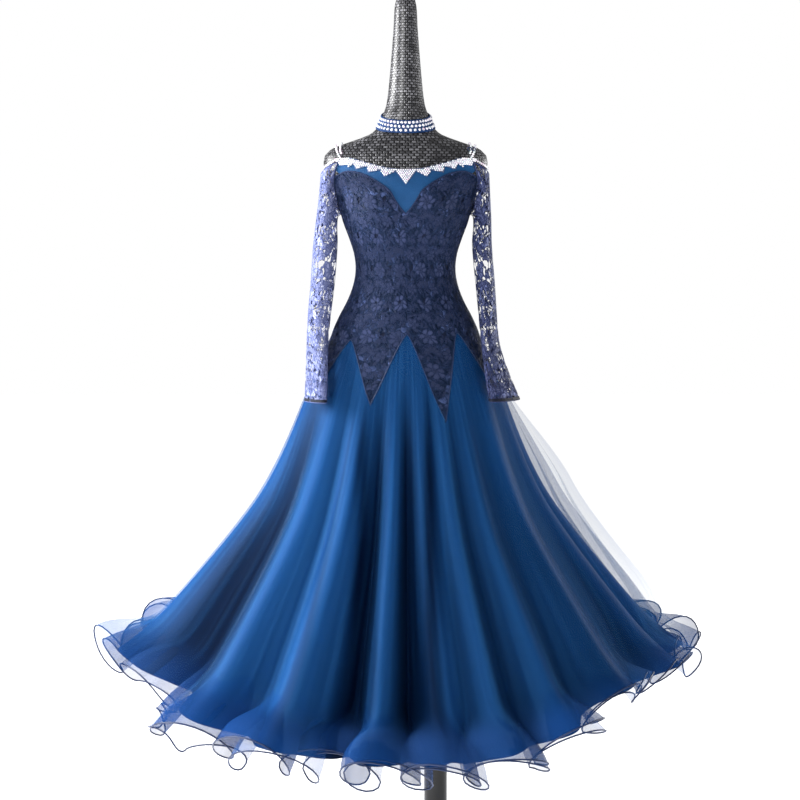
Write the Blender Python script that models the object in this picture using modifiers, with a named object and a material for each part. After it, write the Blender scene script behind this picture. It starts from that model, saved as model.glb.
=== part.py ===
"""Ballroom dance dress on its dress form.

A long-sleeved off-shoulder stage dress: a fitted bodice and hips of lace over a
plain lining, eight flared godets of satin with organza over them, lace sleeves
that hang at the sides, a stone neckline, shoulder straps and a choker band, all
on a limbless torso that stands on a pole and a round base.

Metres, +Z up. The front faces -Y and the torso's axis is X = Y = 0. The underside
of the base lies on Z = 0.
"""

import math

import bpy
import bmesh
from mathutils import Vector
from mathutils.geometry import delaunay_2d_cdt

# Walls and the gaps between layers
WALL = 0.0012
LAYER_1 = 0.0013        # lining and satin start this far out from the form
LAYER_2 = 0.0037        # lace and organza start here
SEAM_GAP = 0.0003
SEAT_GAP = 0.0005
TRIM_OUT = 0.0030       # the stone edge lies on the lining
TRIM_DROP = 0.0010      # and this far below the neck edge

# Heights
TORSO_BOTTOM = 0.98
HIP_TOP = 1.14          # the cloth leaves the form here
SKIRT_DROP = 0.80       # hip to hem at the front
SIDE_LIFT = 0.10        # how much higher the hem is at the sides

# Stand
POLE_X = 0.067
POLE_Y = 0.02
POLE_RADIUS = 0.0255
BASE_RADIUS = 0.19
BASE_THICK = 0.012
FLANGE_RADIUS = 0.055
FLANGE_THICK = 0.010

# Folds
FOLD_START = 0.08       # share of the drop above which the cloth is smooth
FOLD_DEPTH = 0.052      # at the hem
RIDGE_RISE = 0.016      # how much higher a ridge's hem is
FRILLS = 32             # organza waves right round the hem
FRILL_START = 0.925     # share of the drop above which it has none
FRILL_DEPTH = 0.016
FRILL_RISE = 0.010

# How far the organza stands off the satin: angle it is centred on, how much, spread
STAND_OFF = 0.013
BILLOW_START = 0.10     # shares of the drop: where it starts, how soon it is full,
BILLOW_RISE = 0.35
BILLOW_END = 0.75       # and where it falls back by this share of itself
BILLOW_LOSS = 0.75
BILLOWS = (
    (90.0, 0.052, 34.0),
    (-90.0, -0.011, 34.0),
    (180.0, 0.020, 50.0),
)

# How much higher or lower the hem is cut: angle it is centred on, how much, spread
BOTH_HEMS = ((50.0, 0.030, 15.0),)
ORGANZA_CUT = ((-45.0, -0.034, 30.0), (10.0, -0.028, 28.0))

# Large folds right round the skirt: angle, and level from 1 (ridge) to -1 (valley)
FOLDS = (
    (-84.0, 1.15), (-62.0, -1.00), (-43.0, 0.90), (-34.0, -0.10),
    (-24.0, 1.00), (-13.0, -1.00), (-5.5, 0.55), (0.5, -1.05),
    (9.0, 0.60), (14.0, -0.20), (20.0, 0.60), (26.0, -0.35),
    (33.0, 0.55), (41.0, -0.25), (51.0, 0.70), (61.0, -0.20),
    (74.0, 0.75), (82.0, -0.30), (91.0, 0.90), (103.0, -0.80),
    (114.0, 0.80), (124.0, -0.90), (134.0, 0.70), (144.0, -0.80),
    (155.0, 0.90), (167.0, -0.90), (179.0, 0.80), (190.0, -0.60),
    (201.0, 0.90), (213.0, -0.90), (225.0, 0.70), (236.0, -0.80),
    (247.0, 0.90), (259.0, -0.70),
)

# Form sections: height, half width, depth in front, depth behind
FORM = (
    (0.980, 0.148, 0.098, 0.110),
    (1.100, 0.157, 0.104, 0.118),
    (1.140, 0.153, 0.103, 0.116),
    (1.176, 0.138, 0.096, 0.108),
    (1.210, 0.120, 0.087, 0.095),
    (1.244, 0.107, 0.079, 0.083),
    (1.278, 0.1014, 0.073, 0.073),
    (1.312, 0.1045, 0.076, 0.072),
    (1.346, 0.115, 0.084, 0.076),
    (1.380, 0.1277, 0.092, 0.081),
    (1.410, 0.136, 0.097, 0.084),
    (1.440, 0.147, 0.098, 0.084),
    (1.470, 0.164, 0.093, 0.080),
    (1.500, 0.1735, 0.084, 0.072),
    (1.520, 0.170, 0.074, 0.065),
    (1.535, 0.152, 0.064, 0.060),
    (1.548, 0.116, 0.056, 0.057),
    (1.562, 0.078, 0.051, 0.055),
    (1.580, 0.057, 0.048, 0.053),
    (1.604, 0.048, 0.044, 0.049),
    (1.624, 0.0410, 0.040, 0.042),
    (1.660, 0.0358, 0.0358, 0.0358),
    (1.780, 0.0256, 0.0256, 0.0256),
    (1.826, 0.0231, 0.0231, 0.0231),
    (1.846, 0.0185, 0.0185, 0.0185),
    (1.860, 0.0080, 0.0080, 0.0080),
)

# Dress below the hip: cloth height at the front, then the same columns
SKIRT = (
    (1.140, 0.153, 0.103, 0.116),
    (1.100, 0.168, 0.113, 0.127),
    (1.060, 0.183, 0.124, 0.139),
    (1.020, 0.198, 0.134, 0.151),
    (0.980, 0.211, 0.145, 0.164),
    (0.900, 0.234, 0.172, 0.195),
    (0.820, 0.260, 0.204, 0.231),
    (0.740, 0.293, 0.241, 0.271),
    (0.660, 0.337, 0.281, 0.314),
    (0.580, 0.386, 0.324, 0.360),
    (0.500, 0.437, 0.369, 0.408),
    (0.440, 0.478, 0.404, 0.444),
    (0.390, 0.521, 0.434, 0.475),
    (0.340, 0.572, 0.464, 0.508),
    (0.300, 0.617, 0.488, 0.534),
)

# Bust: side offset, height, spread, fullness
BUST = (0.066, 1.400, 0.038, 0.016)

# Godets: middle angle in degrees from the front, height of the arch's top
GODETS = (
    (-135.0, 1.130),
    (-90.0, 1.125),
    (-46.0, 1.131),
    (1.0, 1.144),
    (44.0, 1.147),
    (90.0, 1.125),
    (135.0, 1.130),
    (180.0, 1.130),
)

# Seams between godets: angle, height of the lace point that ends there
SEAMS = (
    (-112.5, 0.998),
    (-67.5, 0.998),
    (-20.5, 0.998),
    (21.5, 0.962),
    (67.5, 0.998),
    (112.5, 0.998),
    (157.5, 0.998),
    (202.5, 0.998),
)

ARCH_POWER = 0.72
ARCH_ROWS = (0.006, 0.030, 0.075)   # rows of a godet below its top

# Neck edge and lace edge on the right half: distance from the middle, height
FRONT_NECK = (
    (0.000, 1.4833), (0.033, 1.4858), (0.066, 1.4940),
    (0.094, 1.5025), (0.115, 1.5090), (0.134, 1.5070),
)
BACK_NECK = (
    (0.000, 1.4880), (0.040, 1.4900), (0.080, 1.4960),
    (0.110, 1.5030), (0.134, 1.5070),
)
SWEETHEART = (
    (0.000, 1.3930), (0.012, 1.4060), (0.0234, 1.4223), (0.0338, 1.4391),
    (0.0534, 1.4545), (0.0793, 1.4701), (0.0989, 1.4778), (0.1185, 1.4810),
    (0.1330, 1.4778),
)
BACK_LACE = (
    (0.000, 1.4350), (0.040, 1.4450), (0.080, 1.4640), (0.110, 1.4760),
    (0.1330, 1.4778),
)

# Columns of a godet at its arch rows, then the rows below them; the columns there
# stand on the ridges and valleys with this many parts between each two
ARCH_COLUMNS = (2, 4, 6, 8, 8)
GODET_ROWS = (0.88, 0.66, 0.49, 0.40)
SATIN_HEM = 0.352
ORGANZA_HEM = 0.340
FOLD_PARTS = 3
HEM_PARTS = 6

# Lower edge of the stone trim: points and the notches between them
TRIM_EDGE = (
    (0.000, 1.4507), (0.021, 1.4785), (0.043, 1.4669), (0.052, 1.4810),
    (0.0771, 1.4767), (0.0795, 1.4895), (0.1019, 1.4844), (0.106, 1.4950),
    (0.1189, 1.4882), (0.126, 1.4960),
)

# Armhole: height, angle from the front
ARMHOLE = (
    (1.395, 90.0),
    (1.420, 83.5),
    (1.445, 74.0),
    (1.470, 63.5),
    (1.490, 56.0),
    (1.507, 50.6),
)
UNDERARM = 1.395
ARMHOLE_POWER = 0.8

# Sleeves: height, centre out from the axis, centre forward, half thickness,
# half depth, turn towards the front in degrees
SLEEVE_LEFT = (
    (1.500, 0.147, 0.000, 0.031, 0.062, 0.0),
    (1.440, 0.154, 0.000, 0.029, 0.058, 0.0),
    (1.390, 0.1665, 0.002, 0.0225, 0.052, 0.0),
    (1.330, 0.1705, 0.006, 0.0255, 0.050, 2.0),
    (1.244, 0.1765, 0.018, 0.0250, 0.047, 6.0),
    (1.193, 0.1815, 0.032, 0.0240, 0.045, 10.0),
    (1.140, 0.1850, 0.052, 0.0210, 0.043, 17.0),
    (1.090, 0.1855, 0.076, 0.0170, 0.041, 27.0),
    (1.040, 0.1860, 0.100, 0.0140, 0.038, 34.0),
    (1.006, 0.1870, 0.112, 0.0130, 0.036, 37.0),
)
SLEEVE_RIGHT = (
    (1.500, 0.146, 0.000, 0.030, 0.062, 0.0),
    (1.440, 0.152, 0.000, 0.027, 0.058, 0.0),
    (1.390, 0.1625, 0.002, 0.0190, 0.050, 0.0),
    (1.330, 0.1625, 0.006, 0.0205, 0.048, 2.0),
    (1.244, 0.1695, 0.018, 0.0200, 0.046, 5.0),
    (1.193, 0.1730, 0.032, 0.0190, 0.044, 9.0),
    (1.126, 0.1780, 0.056, 0.0170, 0.042, 17.0),
    (1.080, 0.1870, 0.075, 0.0170, 0.043, 27.0),
    (1.041, 0.1965, 0.090, 0.0180, 0.046, 34.0),
    (1.008, 0.2060, 0.099, 0.0190, 0.050, 38.0),
)
SLEEVE_CLEAR = 0.0012       # between a sleeve and the body at the armhole
SLEEVE_TOP_INNER = 1.500
SLEEVE_TOP_OUTER = 1.476
SLEEVE_FLAT_WIDTH = 0.120   # one half laid flat

# One repeat of the lace, and its two largest gaps: place across, place up,
# half length, half width, turn in degrees
LACE_WIDE = 0.058
LACE_HIGH = 0.070
LACE_GAPS = (
    (0.25, 0.30, 0.0085, 0.0042, 62.0),
    (0.72, 0.58, 0.0075, 0.0038, -48.0),
)
GAP_SIDES = 6
BODY_MARGIN = 0.010     # gaps keep this far from a body panel's edge
SLEEVE_MARGIN = 0.008
SLEEVE_SIDE = 0.045     # longest side of a sleeve's outline

# Choker: height of its top edge at the sides, tilt, height of the band
CHOKER_TOP = 1.6045
CHOKER_TILT = 0.017
CHOKER_HIGH = 0.027
CHOKER_WALL = 0.0022
CHOKER_OUT = 0.0016

# Strap over each shoulder: angle, height of its middle, half its rise
STRAP = (
    (51.0, 1.5140, 0.0050),
    (58.0, 1.5270, 0.0040),
    (68.0, 1.5355, 0.0030),
    (80.0, 1.5390, 0.0025),
    (90.0, 1.5400, 0.0025),
    (100.0, 1.5390, 0.0025),
    (112.0, 1.5355, 0.0030),
    (122.0, 1.5270, 0.0040),
    (129.0, 1.5140, 0.0050),
)

STRAP_OUT = 0.0012
STRAP_WALL = 0.0022

# Strand round the shoulder just above the sleeve: angle, height
STRAND = (
    (54.0, 1.5075), (62.0, 1.5010), (72.0, 1.4960), (81.0, 1.4930), (90.0, 1.4920),
    (99.0, 1.4930), (108.0, 1.4960), (118.0, 1.5010), (126.0, 1.5075),
)
STRAND_RADIUS = 0.0022

FORM_SIDES = 24
EXTRA_RINGS = (1.395, 1.425, 1.455, 1.571, 1.592)
FLAT_RADIUS = 0.135     # turns an angle into a width where panels are laid flat
STEP = 0.0005
COLUMN_CLEAR = math.radians(0.8)
EDGE_CLEAR = 0.007      # inner points keep this far from a panel's edge
GAP_CLEAR = 0.005


def clear_scene():
    for obj in list(bpy.data.objects):
        bpy.data.objects.remove(obj, do_unlink=True)


def material(name, colour, roughness, metallic=0.0):
    found = bpy.data.materials.new(name)
    found.use_nodes = True
    shader = found.node_tree.nodes["Principled BSDF"]
    shader.inputs["Base Color"].default_value = (*colour, 1.0)
    shader.inputs["Roughness"].default_value = roughness
    shader.inputs["Metallic"].default_value = metallic
    return found


def read_table(table, at, column):
    """One column of a table at a height, on a smooth curve through its rows."""
    rows = sorted(table)
    keys = [row[0] for row in rows]
    values = [row[column] for row in rows]
    if at <= keys[0]:
        return values[0]
    if at >= keys[-1]:
        return values[-1]
    k = max(i for i in range(len(keys) - 1) if keys[i] <= at)

    def slope(i):
        lo = max(i - 1, 0)
        hi = min(i + 1, len(keys) - 1)
        return (values[hi] - values[lo]) / (keys[hi] - keys[lo])

    span = keys[k + 1] - keys[k]
    t = (at - keys[k]) / span
    m0 = slope(k) * span
    m1 = slope(k + 1) * span
    return ((2 * t**3 - 3 * t**2 + 1) * values[k] + (t**3 - 2 * t**2 + t) * m0
            + (3 * t**2 - 2 * t**3) * values[k + 1] + (t**3 - t**2) * m1)


def ellipse_point(angle, height, side, front, back):
    depth = front if math.cos(angle) > 0 else back
    return Vector((side * math.sin(angle), -depth * math.cos(angle), height))


def form_point(angle, height):
    """A point on the form: angle from the front, towards +X."""
    point = ellipse_point(angle, height, *(read_table(FORM, height, c) for c in (1, 2, 3)))
    offset, level, spread, fullness = BUST
    if math.cos(angle) > 0:
        for side in (-1, 1):
            away = (point.x - side * offset) ** 2 + (height - level) ** 2
            point.y -= fullness * math.exp(-away / (2 * spread**2)) * math.cos(angle) ** 0.5
    return point


def ease(t):
    t = max(0.0, min(1.0, t))
    return t * t * (3.0 - 2.0 * t)


def fold_wave(angle):
    """Level of the large folds at an angle, eased from each ridge to the next valley."""
    degrees = (math.degrees(angle) - FOLDS[0][0]) % 360.0 + FOLDS[0][0]
    rows = FOLDS + ((FOLDS[0][0] + 360.0, FOLDS[0][1]),)
    for (low, start), (high, end) in zip(rows, rows[1:]):
        if low <= degrees <= high:
            return start + (end - start) * ease((degrees - low) / (high - low))
    return 0.0


def swell(angle, bumps):
    """The sum of soft bumps round the skirt, each with its angle, size and spread."""
    total = 0.0
    for middle, size, spread in bumps:
        away = (math.degrees(angle) - middle + 180.0) % 360.0 - 180.0
        total += size * math.exp(-((away / spread) ** 2))
    return total


def stand_off(angle, down):
    """How far the organza stands off the satin: most half way down and at the sides."""
    size = STAND_OFF + swell(angle, BILLOWS)
    grown = ease((down - BILLOW_START) / BILLOW_RISE)
    return size * grown * (1.0 - BILLOW_LOSS * ease((down - BILLOW_END) / (1.0 - BILLOW_END)))


def frill_wave(angle):
    bent = angle + 0.03 * math.sin(4 * angle + 0.7) + 0.02 * math.sin(7 * angle)
    return math.cos(FRILLS * bent + 1.3)


def dress_point(angle, height):
    """A point on the dress's reference surface; below the hip it is the skirt."""
    if height >= HIP_TOP:
        return form_point(angle, height)
    down = (HIP_TOP - height) / SKIRT_DROP
    drop = (SKIRT_DROP - SIDE_LIFT * math.sin(angle) ** 2) * down
    sizes = (read_table(SKIRT, height, c) for c in (1, 2, 3))
    point = ellipse_point(angle, HIP_TOP - drop, *sizes)
    wave = fold_wave(angle)
    depth = FOLD_DEPTH * max(0.0, (down - FOLD_START) / (1.0 - FOLD_START)) ** 1.3
    out = Vector((math.sin(angle), -math.cos(angle), 0.0))
    point += out * (depth * wave)
    point.z += RIDGE_RISE * wave * down ** 2
    return point


def organza_point(angle, height):
    """The organza: on the dress at the top, clear of the satin and frilled below."""
    point = dress_point(angle, height)
    if height >= HIP_TOP:
        return point
    down = (HIP_TOP - height) / SKIRT_DROP
    frill = frill_wave(angle)
    out = Vector((math.sin(angle), -math.cos(angle), 0.0))
    grown = (1.0 + frill) * ease((down - FRILL_START) / (1.0 - FRILL_START))
    point += out * (stand_off(angle, down) + FRILL_DEPTH * grown)
    point.z += FRILL_RISE * grown
    return point


def normal_at(surface, u, v):
    across = surface(u + STEP, v) - surface(u - STEP, v)
    along = surface(u, v + STEP) - surface(u, v - STEP)
    return across.cross(along).normalized()


def add_object(name, mesh, look, collection):
    obj = bpy.data.objects.new(name, mesh)
    obj.data.materials.append(look)
    collection.objects.link(obj)
    mesh.shade_smooth()
    mesh.set_sharp_from_angle(angle=math.radians(50))
    return obj


def cloth_wall(name, flat, faces, surface, start, wall, look, collection):
    """A wall of cloth: the flat faces laid on a surface, twice, and joined at every edge."""
    inner = []
    outer = []
    for u, v in flat:
        point = surface(u, v)
        out = normal_at(surface, u, v)
        inner.append(point + out * start)
        outer.append(point + out * (start + wall))
    count = len(flat)
    used = {}
    for face in faces:
        for a, b in zip(face, face[1:] + face[:1]):
            used[(a, b)] = used.get((a, b), 0) + 1
    rim = [edge for edge in used if (edge[1], edge[0]) not in used]
    walls = [tuple(i + count for i in face) for face in faces]
    walls += [tuple(reversed(face)) for face in faces]
    walls += [(a, b, b + count, a + count) for a, b in rim]
    mesh = bpy.data.meshes.new(name)
    mesh.from_pydata([*inner, *outer], [], walls)
    body = bmesh.new()
    body.from_mesh(mesh)
    loose = [v for v in body.verts if not v.link_faces]
    bmesh.ops.delete(body, geom=loose, context="VERTS")
    bmesh.ops.recalc_face_normals(body, faces=body.faces)
    body.to_mesh(mesh)
    body.free()
    return add_object(name, mesh, look, collection)


def strip(low, high, low_shares, high_shares):
    """Triangles between two rows of points that may differ in number."""
    faces = []
    i = 0
    j = 0
    while i < len(low) - 1 or j < len(high) - 1:
        low_next = low_shares[i + 1] if i < len(low) - 1 else 2.0
        high_next = high_shares[j + 1] if j < len(high) - 1 else 2.0
        if low_next <= high_next + 1e-9:
            faces.append((low[i], low[i + 1], high[j]))
            i += 1
        else:
            faces.append((low[i], high[j + 1], high[j]))
            j += 1
    return faces


def shares(row):
    """How far along its row each point lies, from 0 to 1."""
    first, last = row[0][0], row[-1][0]
    return [(point[0] - first) / (last - first) for point in row]


def rows_wall(name, rows, surface, start, wall, look, collection):
    """A wall on rows of flat points, from the top row down."""
    flat = []
    places = []
    for row in rows:
        places.append(list(range(len(flat), len(flat) + len(row))))
        flat += row
    faces = []
    for k in range(len(rows) - 1):
        faces += strip(places[k + 1], places[k], shares(rows[k + 1]), shares(rows[k]))
    return cloth_wall(name, flat, faces, surface, start, wall, look, collection)


def ring_wall(name, rows, surface, start, wall, look, collection):
    """A closed band: each row goes right round."""
    width = len(rows[0])
    flat = [point for row in rows for point in row]
    faces = []
    for r in range(len(rows) - 1):
        for c in range(width):
            d = (c + 1) % width
            faces.append(((r + 1) * width + c, (r + 1) * width + d, r * width + d, r * width + c))
    return cloth_wall(name, flat, faces, surface, start, wall, look, collection)


def inside(point, outline):
    x, y = point
    odd = False
    for (x0, y0), (x1, y1) in zip(outline, outline[1:] + outline[:1]):
        if (y0 > y) != (y1 > y) and x < x0 + (y - y0) * (x1 - x0) / (y1 - y0):
            odd = not odd
    return odd


def distance_to(point, outline):
    px, py = point
    best = 1e9
    for (x0, y0), (x1, y1) in zip(outline, outline[1:] + outline[:1]):
        dx, dy = x1 - x0, y1 - y0
        t = max(0.0, min(1.0, ((px - x0) * dx + (py - y0) * dy) / (dx * dx + dy * dy + 1e-12)))
        best = min(best, math.hypot(px - x0 - t * dx, py - y0 - t * dy))
    return best


def lace_gaps(outline, margin, kinds):
    """The largest gaps of each repeat that lie well inside an outline."""
    xs = [p[0] for p in outline]
    ys = [p[1] for p in outline]
    gaps = []
    for row in range(math.floor(min(ys) / LACE_HIGH) - 1, math.ceil(max(ys) / LACE_HIGH) + 1):
        shift = 0.5 * (row % 2)
        first = math.floor(min(xs) / LACE_WIDE) - 1
        for column in range(first, math.ceil(max(xs) / LACE_WIDE) + 1):
            for across, up, long, half, turn in LACE_GAPS[:kinds]:
                cx = (column + shift + across) * LACE_WIDE
                cy = (row + up) * LACE_HIGH
                lean = math.radians(turn)
                gap = []
                for k in range(GAP_SIDES):
                    a = 2 * math.pi * k / GAP_SIDES
                    x, y = long * math.cos(a), half * math.sin(a)
                    gap.append((cx + x * math.cos(lean) - y * math.sin(lean),
                                cy + x * math.sin(lean) + y * math.cos(lean)))
                if all(inside(p, outline) and distance_to(p, outline) > margin for p in gap):
                    gaps.append(gap)
    return gaps


def spaced(points, step):
    """A closed outline with points added so that no side is longer than the step."""
    out = []
    for (x0, y0), (x1, y1) in zip(points, points[1:] + points[:1]):
        parts = max(1, math.ceil(math.hypot(x1 - x0, y1 - y0) / step))
        out += [(x0 + (x1 - x0) * k / parts, y0 + (y1 - y0) * k / parts) for k in range(parts)]
    return out


def panel(name, outline, gaps, lines, surface, start, wall, look, collection):
    """A cut panel: its outline and gaps, filled with triangles and laid on a surface."""
    points = list(outline)
    loops = [list(range(len(outline)))]
    for gap in gaps:
        loops.append(list(range(len(points), len(points) + len(gap))))
        points += gap
    for x in lines[0]:
        for y in lines[1]:
            here = (x, y)
            if not inside(here, outline) or distance_to(here, outline) < EDGE_CLEAR:
                continue
            if all(distance_to(here, g) > GAP_CLEAR and not inside(here, g) for g in gaps):
                points.append(here)
    edges = [(a, b) for loop in loops for a, b in zip(loop, loop[1:] + loop[:1])]
    found = delaunay_2d_cdt([Vector(p) for p in points], edges, [], 0, 1e-6)
    flat = [tuple(p) for p in found[0]]
    faces = []
    for face in found[2]:
        middle = tuple(sum(flat[i][k] for i in face) / len(face) for k in (0, 1))
        if inside(middle, outline) and not any(inside(middle, g) for g in gaps):
            faces.append(tuple(face))
    return cloth_wall(name, flat, faces, surface, start, wall, look, collection)


def angle_at(distance, height):
    """The angle whose place on the form is this far from the middle."""
    return math.asin(min(0.999, distance / read_table(FORM, height, 1)))


def arch_share(height, top, point):
    if height >= top:
        return 0.0
    return min(1.0, ((top - height) / (top - point)) ** ARCH_POWER)


def arch_edge(godet, seam, height):
    """Angle of a godet's edge at a height, in radians."""
    middle, top = GODETS[godet]
    turn, point = SEAMS[seam]
    while turn - middle > 180:
        turn -= 360
    while turn - middle < -180:
        turn += 360
    return math.radians(middle + (turn - middle) * arch_share(height, top, point))


def godet_heights(godet):
    """Heights of a godet's rows down to the lowest lace point."""
    points = {point for turn, point in SEAMS}
    return [GODETS[godet][1] - drop for drop in ARCH_ROWS] + sorted(points, reverse=True)


def lower_edge(godets):
    """The arches along the bottom of a panel, from its left seam to its right seam."""
    edge = []
    shift = SEAM_GAP / FLAT_RADIUS
    for place, (godet, left, right) in enumerate(godets):
        heights = godet_heights(godet)
        rows = [h for h in heights if h > SEAMS[left][1] + STEP]
        if place > 0:
            edge += [(arch_edge(godet, left, h) - shift, h) for h in reversed(rows[1:])]
            edge.append((arch_edge(godet, left, rows[0]) - shift, rows[0] + SEAM_GAP))
        else:
            edge.append((math.radians(GODETS[godet][0]), rows[0] + SEAM_GAP))
        rows = [h for h in heights if h > SEAMS[right][1] + STEP]
        if place < len(godets) - 1:
            edge.append((arch_edge(godet, right, rows[0]) + shift, rows[0] + SEAM_GAP))
            edge += [(arch_edge(godet, right, h) + shift, h) for h in rows[1:]]
            edge.append((math.radians(SEAMS[right][0]), SEAMS[right][1] + 3 * SEAM_GAP))
        else:
            edge.append((math.radians(GODETS[godet][0]), rows[0] + SEAM_GAP))
    return edge


FRONT_GODETS = ((1, 0, 1), (2, 1, 2), (3, 2, 3), (4, 3, 4), (5, 4, 5))
BACK_GODETS = ((5, 4, 5), (6, 5, 6), (7, 6, 7), (0, 7, 0), (1, 0, 1))


def side_angles(back):
    seam = SEAM_GAP / 2 / FLAT_RADIUS
    if back:
        return math.pi / 2 + seam, 3 * math.pi / 2 - seam
    return -math.pi / 2 + seam, math.pi / 2 - seam


def body_outline(neck, back, armhole_top):
    """The cut of a front or back body panel: angle and height, anticlockwise."""
    left, right = side_angles(back)
    godets = BACK_GODETS if back else FRONT_GODETS
    middle = math.pi if back else 0.0
    edge = []
    for angle, height in lower_edge(godets):
        if back and angle < math.pi / 4:
            angle += 2 * math.pi
        edge.append((min(max(angle, left), right), height))
    arm = [row for row in ARMHOLE if row[0] < armhole_top - 0.004]
    seam = [h for h in body_lines()[1] if edge[-1][1] + 0.004 < h < UNDERARM - 0.004]
    edge += [(right, height) for height in seam]
    for height, degrees in arm:
        edge.append((middle + math.radians(degrees), height))
    for distance, height in reversed(neck):
        edge.append((middle + angle_at(distance, height), height))
    for distance, height in neck[1:]:
        edge.append((middle - angle_at(distance, height), height))
    for height, degrees in reversed(arm):
        edge.append((middle - math.radians(degrees), height))
    edge += [(left, height) for height in reversed(seam)]
    clipped = [(min(max(a, left), right), h) for a, h in edge]
    return [(a * FLAT_RADIUS, h) for a, h in clipped]


def on_dress(u, v):
    return dress_point(u / FLAT_RADIUS, v)


def body_lines():
    """Where the form's own rings and sides cross, so that the layers keep clear."""
    turns = [2 * math.pi * k / FORM_SIDES * FLAT_RADIUS for k in range(-FORM_SIDES, 2 * FORM_SIDES)]
    heights = sorted({row[0] for row in FORM} | set(EXTRA_RINGS) | {1.070, 1.020})
    return turns, heights


def make_body(collection, lining_look, lace_look):
    lines = body_lines()
    for word, back, neck, lace in (
        ("front", False, FRONT_NECK, SWEETHEART),
        ("back", True, BACK_NECK, BACK_LACE),
    ):
        outline = body_outline(neck, back, neck[-1][1])
        panel(f"lining_{word}", outline, [], lines, on_dress, LAYER_1, WALL,
              lining_look, collection)
        cut = body_outline(lace, back, lace[-1][1])
        gaps = lace_gaps(cut, BODY_MARGIN, 1)
        panel(f"lace_{word}", cut, gaps, lines, on_dress, LAYER_2, WALL,
              lace_look, collection)


def make_trim(collection, look):
    """The stone edge: it follows the neck and ends in points that grow to the middle."""
    top = [(d, h - TRIM_DROP) for d, h in FRONT_NECK[:-1]]
    ring = [(angle_at(d, h) * FLAT_RADIUS, h) for d, h in reversed(top)]
    ring += [(-angle_at(d, h) * FLAT_RADIUS, h) for d, h in top[1:]]
    ring += [(-angle_at(d, h) * FLAT_RADIUS, h) for d, h in reversed(TRIM_EDGE[:-1])]
    ring += [(angle_at(d, h) * FLAT_RADIUS, h) for d, h in TRIM_EDGE[1:-1]]
    panel("neckline_trim", ring, [], body_lines(), on_dress, TRIM_OUT, WALL, look, collection)


def godet_row(godet, height, columns):
    left = (godet - 1) % len(SEAMS)
    right = godet % len(SEAMS)
    radius = 0.5 * (read_table(SKIRT, height, 1) + read_table(SKIRT, height, 2))
    low = arch_edge(godet, left, height) + SEAM_GAP / 2 / radius
    high = arch_edge(godet, right, height) - SEAM_GAP / 2 / radius
    return [(low + (high - low) * c / columns, height) for c in range(columns + 1)]


def fold_row(godet, height, parts):
    """A row whose columns stand on the folds that lie between the godet's edges."""
    low, high = (row[0] for row in godet_row(godet, height, 1))
    knots = []
    for turn in (-2 * math.pi, 0.0, 2 * math.pi):
        knots += [math.radians(angle) + turn for angle, level in FOLDS]
    turns = []
    for first, second in zip(knots, knots[1:]):
        turns += [first + (second - first) * k / parts for k in range(parts)]
    between = [turn for turn in turns if low + COLUMN_CLEAR < turn < high - COLUMN_CLEAR]
    return [(turn, height) for turn in (low, *between, high)]


def hem_row(godet, height, parts, bumps):
    row = fold_row(godet, height, parts)
    return [(turn, level + swell(turn, bumps)) for turn, level in row]


def make_godets(collection, satin_look, organza_look):
    for godet in range(len(GODETS)):
        rows = [godet_row(godet, h, c) for h, c in zip(godet_heights(godet), ARCH_COLUMNS)]
        rows += [fold_row(godet, height, FOLD_PARTS) for height in GODET_ROWS]
        satin = rows + [hem_row(godet, SATIN_HEM, FOLD_PARTS, BOTH_HEMS)]
        organza = rows + [hem_row(godet, ORGANZA_HEM, HEM_PARTS, BOTH_HEMS + ORGANZA_CUT)]
        rows_wall(f"satin_godet_{godet + 1}", satin, dress_point, LAYER_1, WALL,
                  satin_look, collection)
        rows_wall(f"organza_godet_{godet + 1}", organza, organza_point, LAYER_2, WALL,
                  organza_look, collection)


def sleeve_frame(table, side, height):
    out, forward, thick, deep, turn = (read_table(table, height, c) for c in range(1, 6))
    lean = math.radians(turn)
    centre = Vector((side * out, -forward, height))
    away = Vector((side * math.cos(lean), -math.sin(lean), 0.0))
    ahead = Vector((-side * math.sin(lean), -math.cos(lean), 0.0))
    return centre, away * thick, ahead * deep


def armhole_share(height):
    """Where a sleeve half starts, from 0 at the underarm to 1/2 at the shoulder."""
    if height <= UNDERARM:
        return 0.0
    return 0.5 * ((height - UNDERARM) / (SLEEVE_TOP_INNER - UNDERARM)) ** ARMHOLE_POWER


def sleeve_point(table, side, half, share, height):
    """A point on a sleeve half: share 0 at its inner line, 1 at its outer line."""
    centre, away, ahead = sleeve_frame(table, side, height)
    angle = math.pi * (share - 0.5)
    point = centre + away * math.sin(angle) + ahead * (half * math.cos(angle))
    start = armhole_share(height)
    if start > 0.0:
        angle = math.pi * (start - 0.5)
        edge = centre + away * math.sin(angle) + ahead * (half * math.cos(angle))
        turn = math.radians(read_table(ARMHOLE, height, 1))
        around = side * (turn if half > 0 else math.pi - turn)
        target = form_point(around, height)
        out = normal_at(form_point, around, height)
        target += out * (LAYER_2 + WALL + SLEEVE_CLEAR)
        fade = max(0.0, 1.0 - (share - start) / (1.0 - start)) ** 2
        point += (target - edge) * fade
    return point


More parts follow.
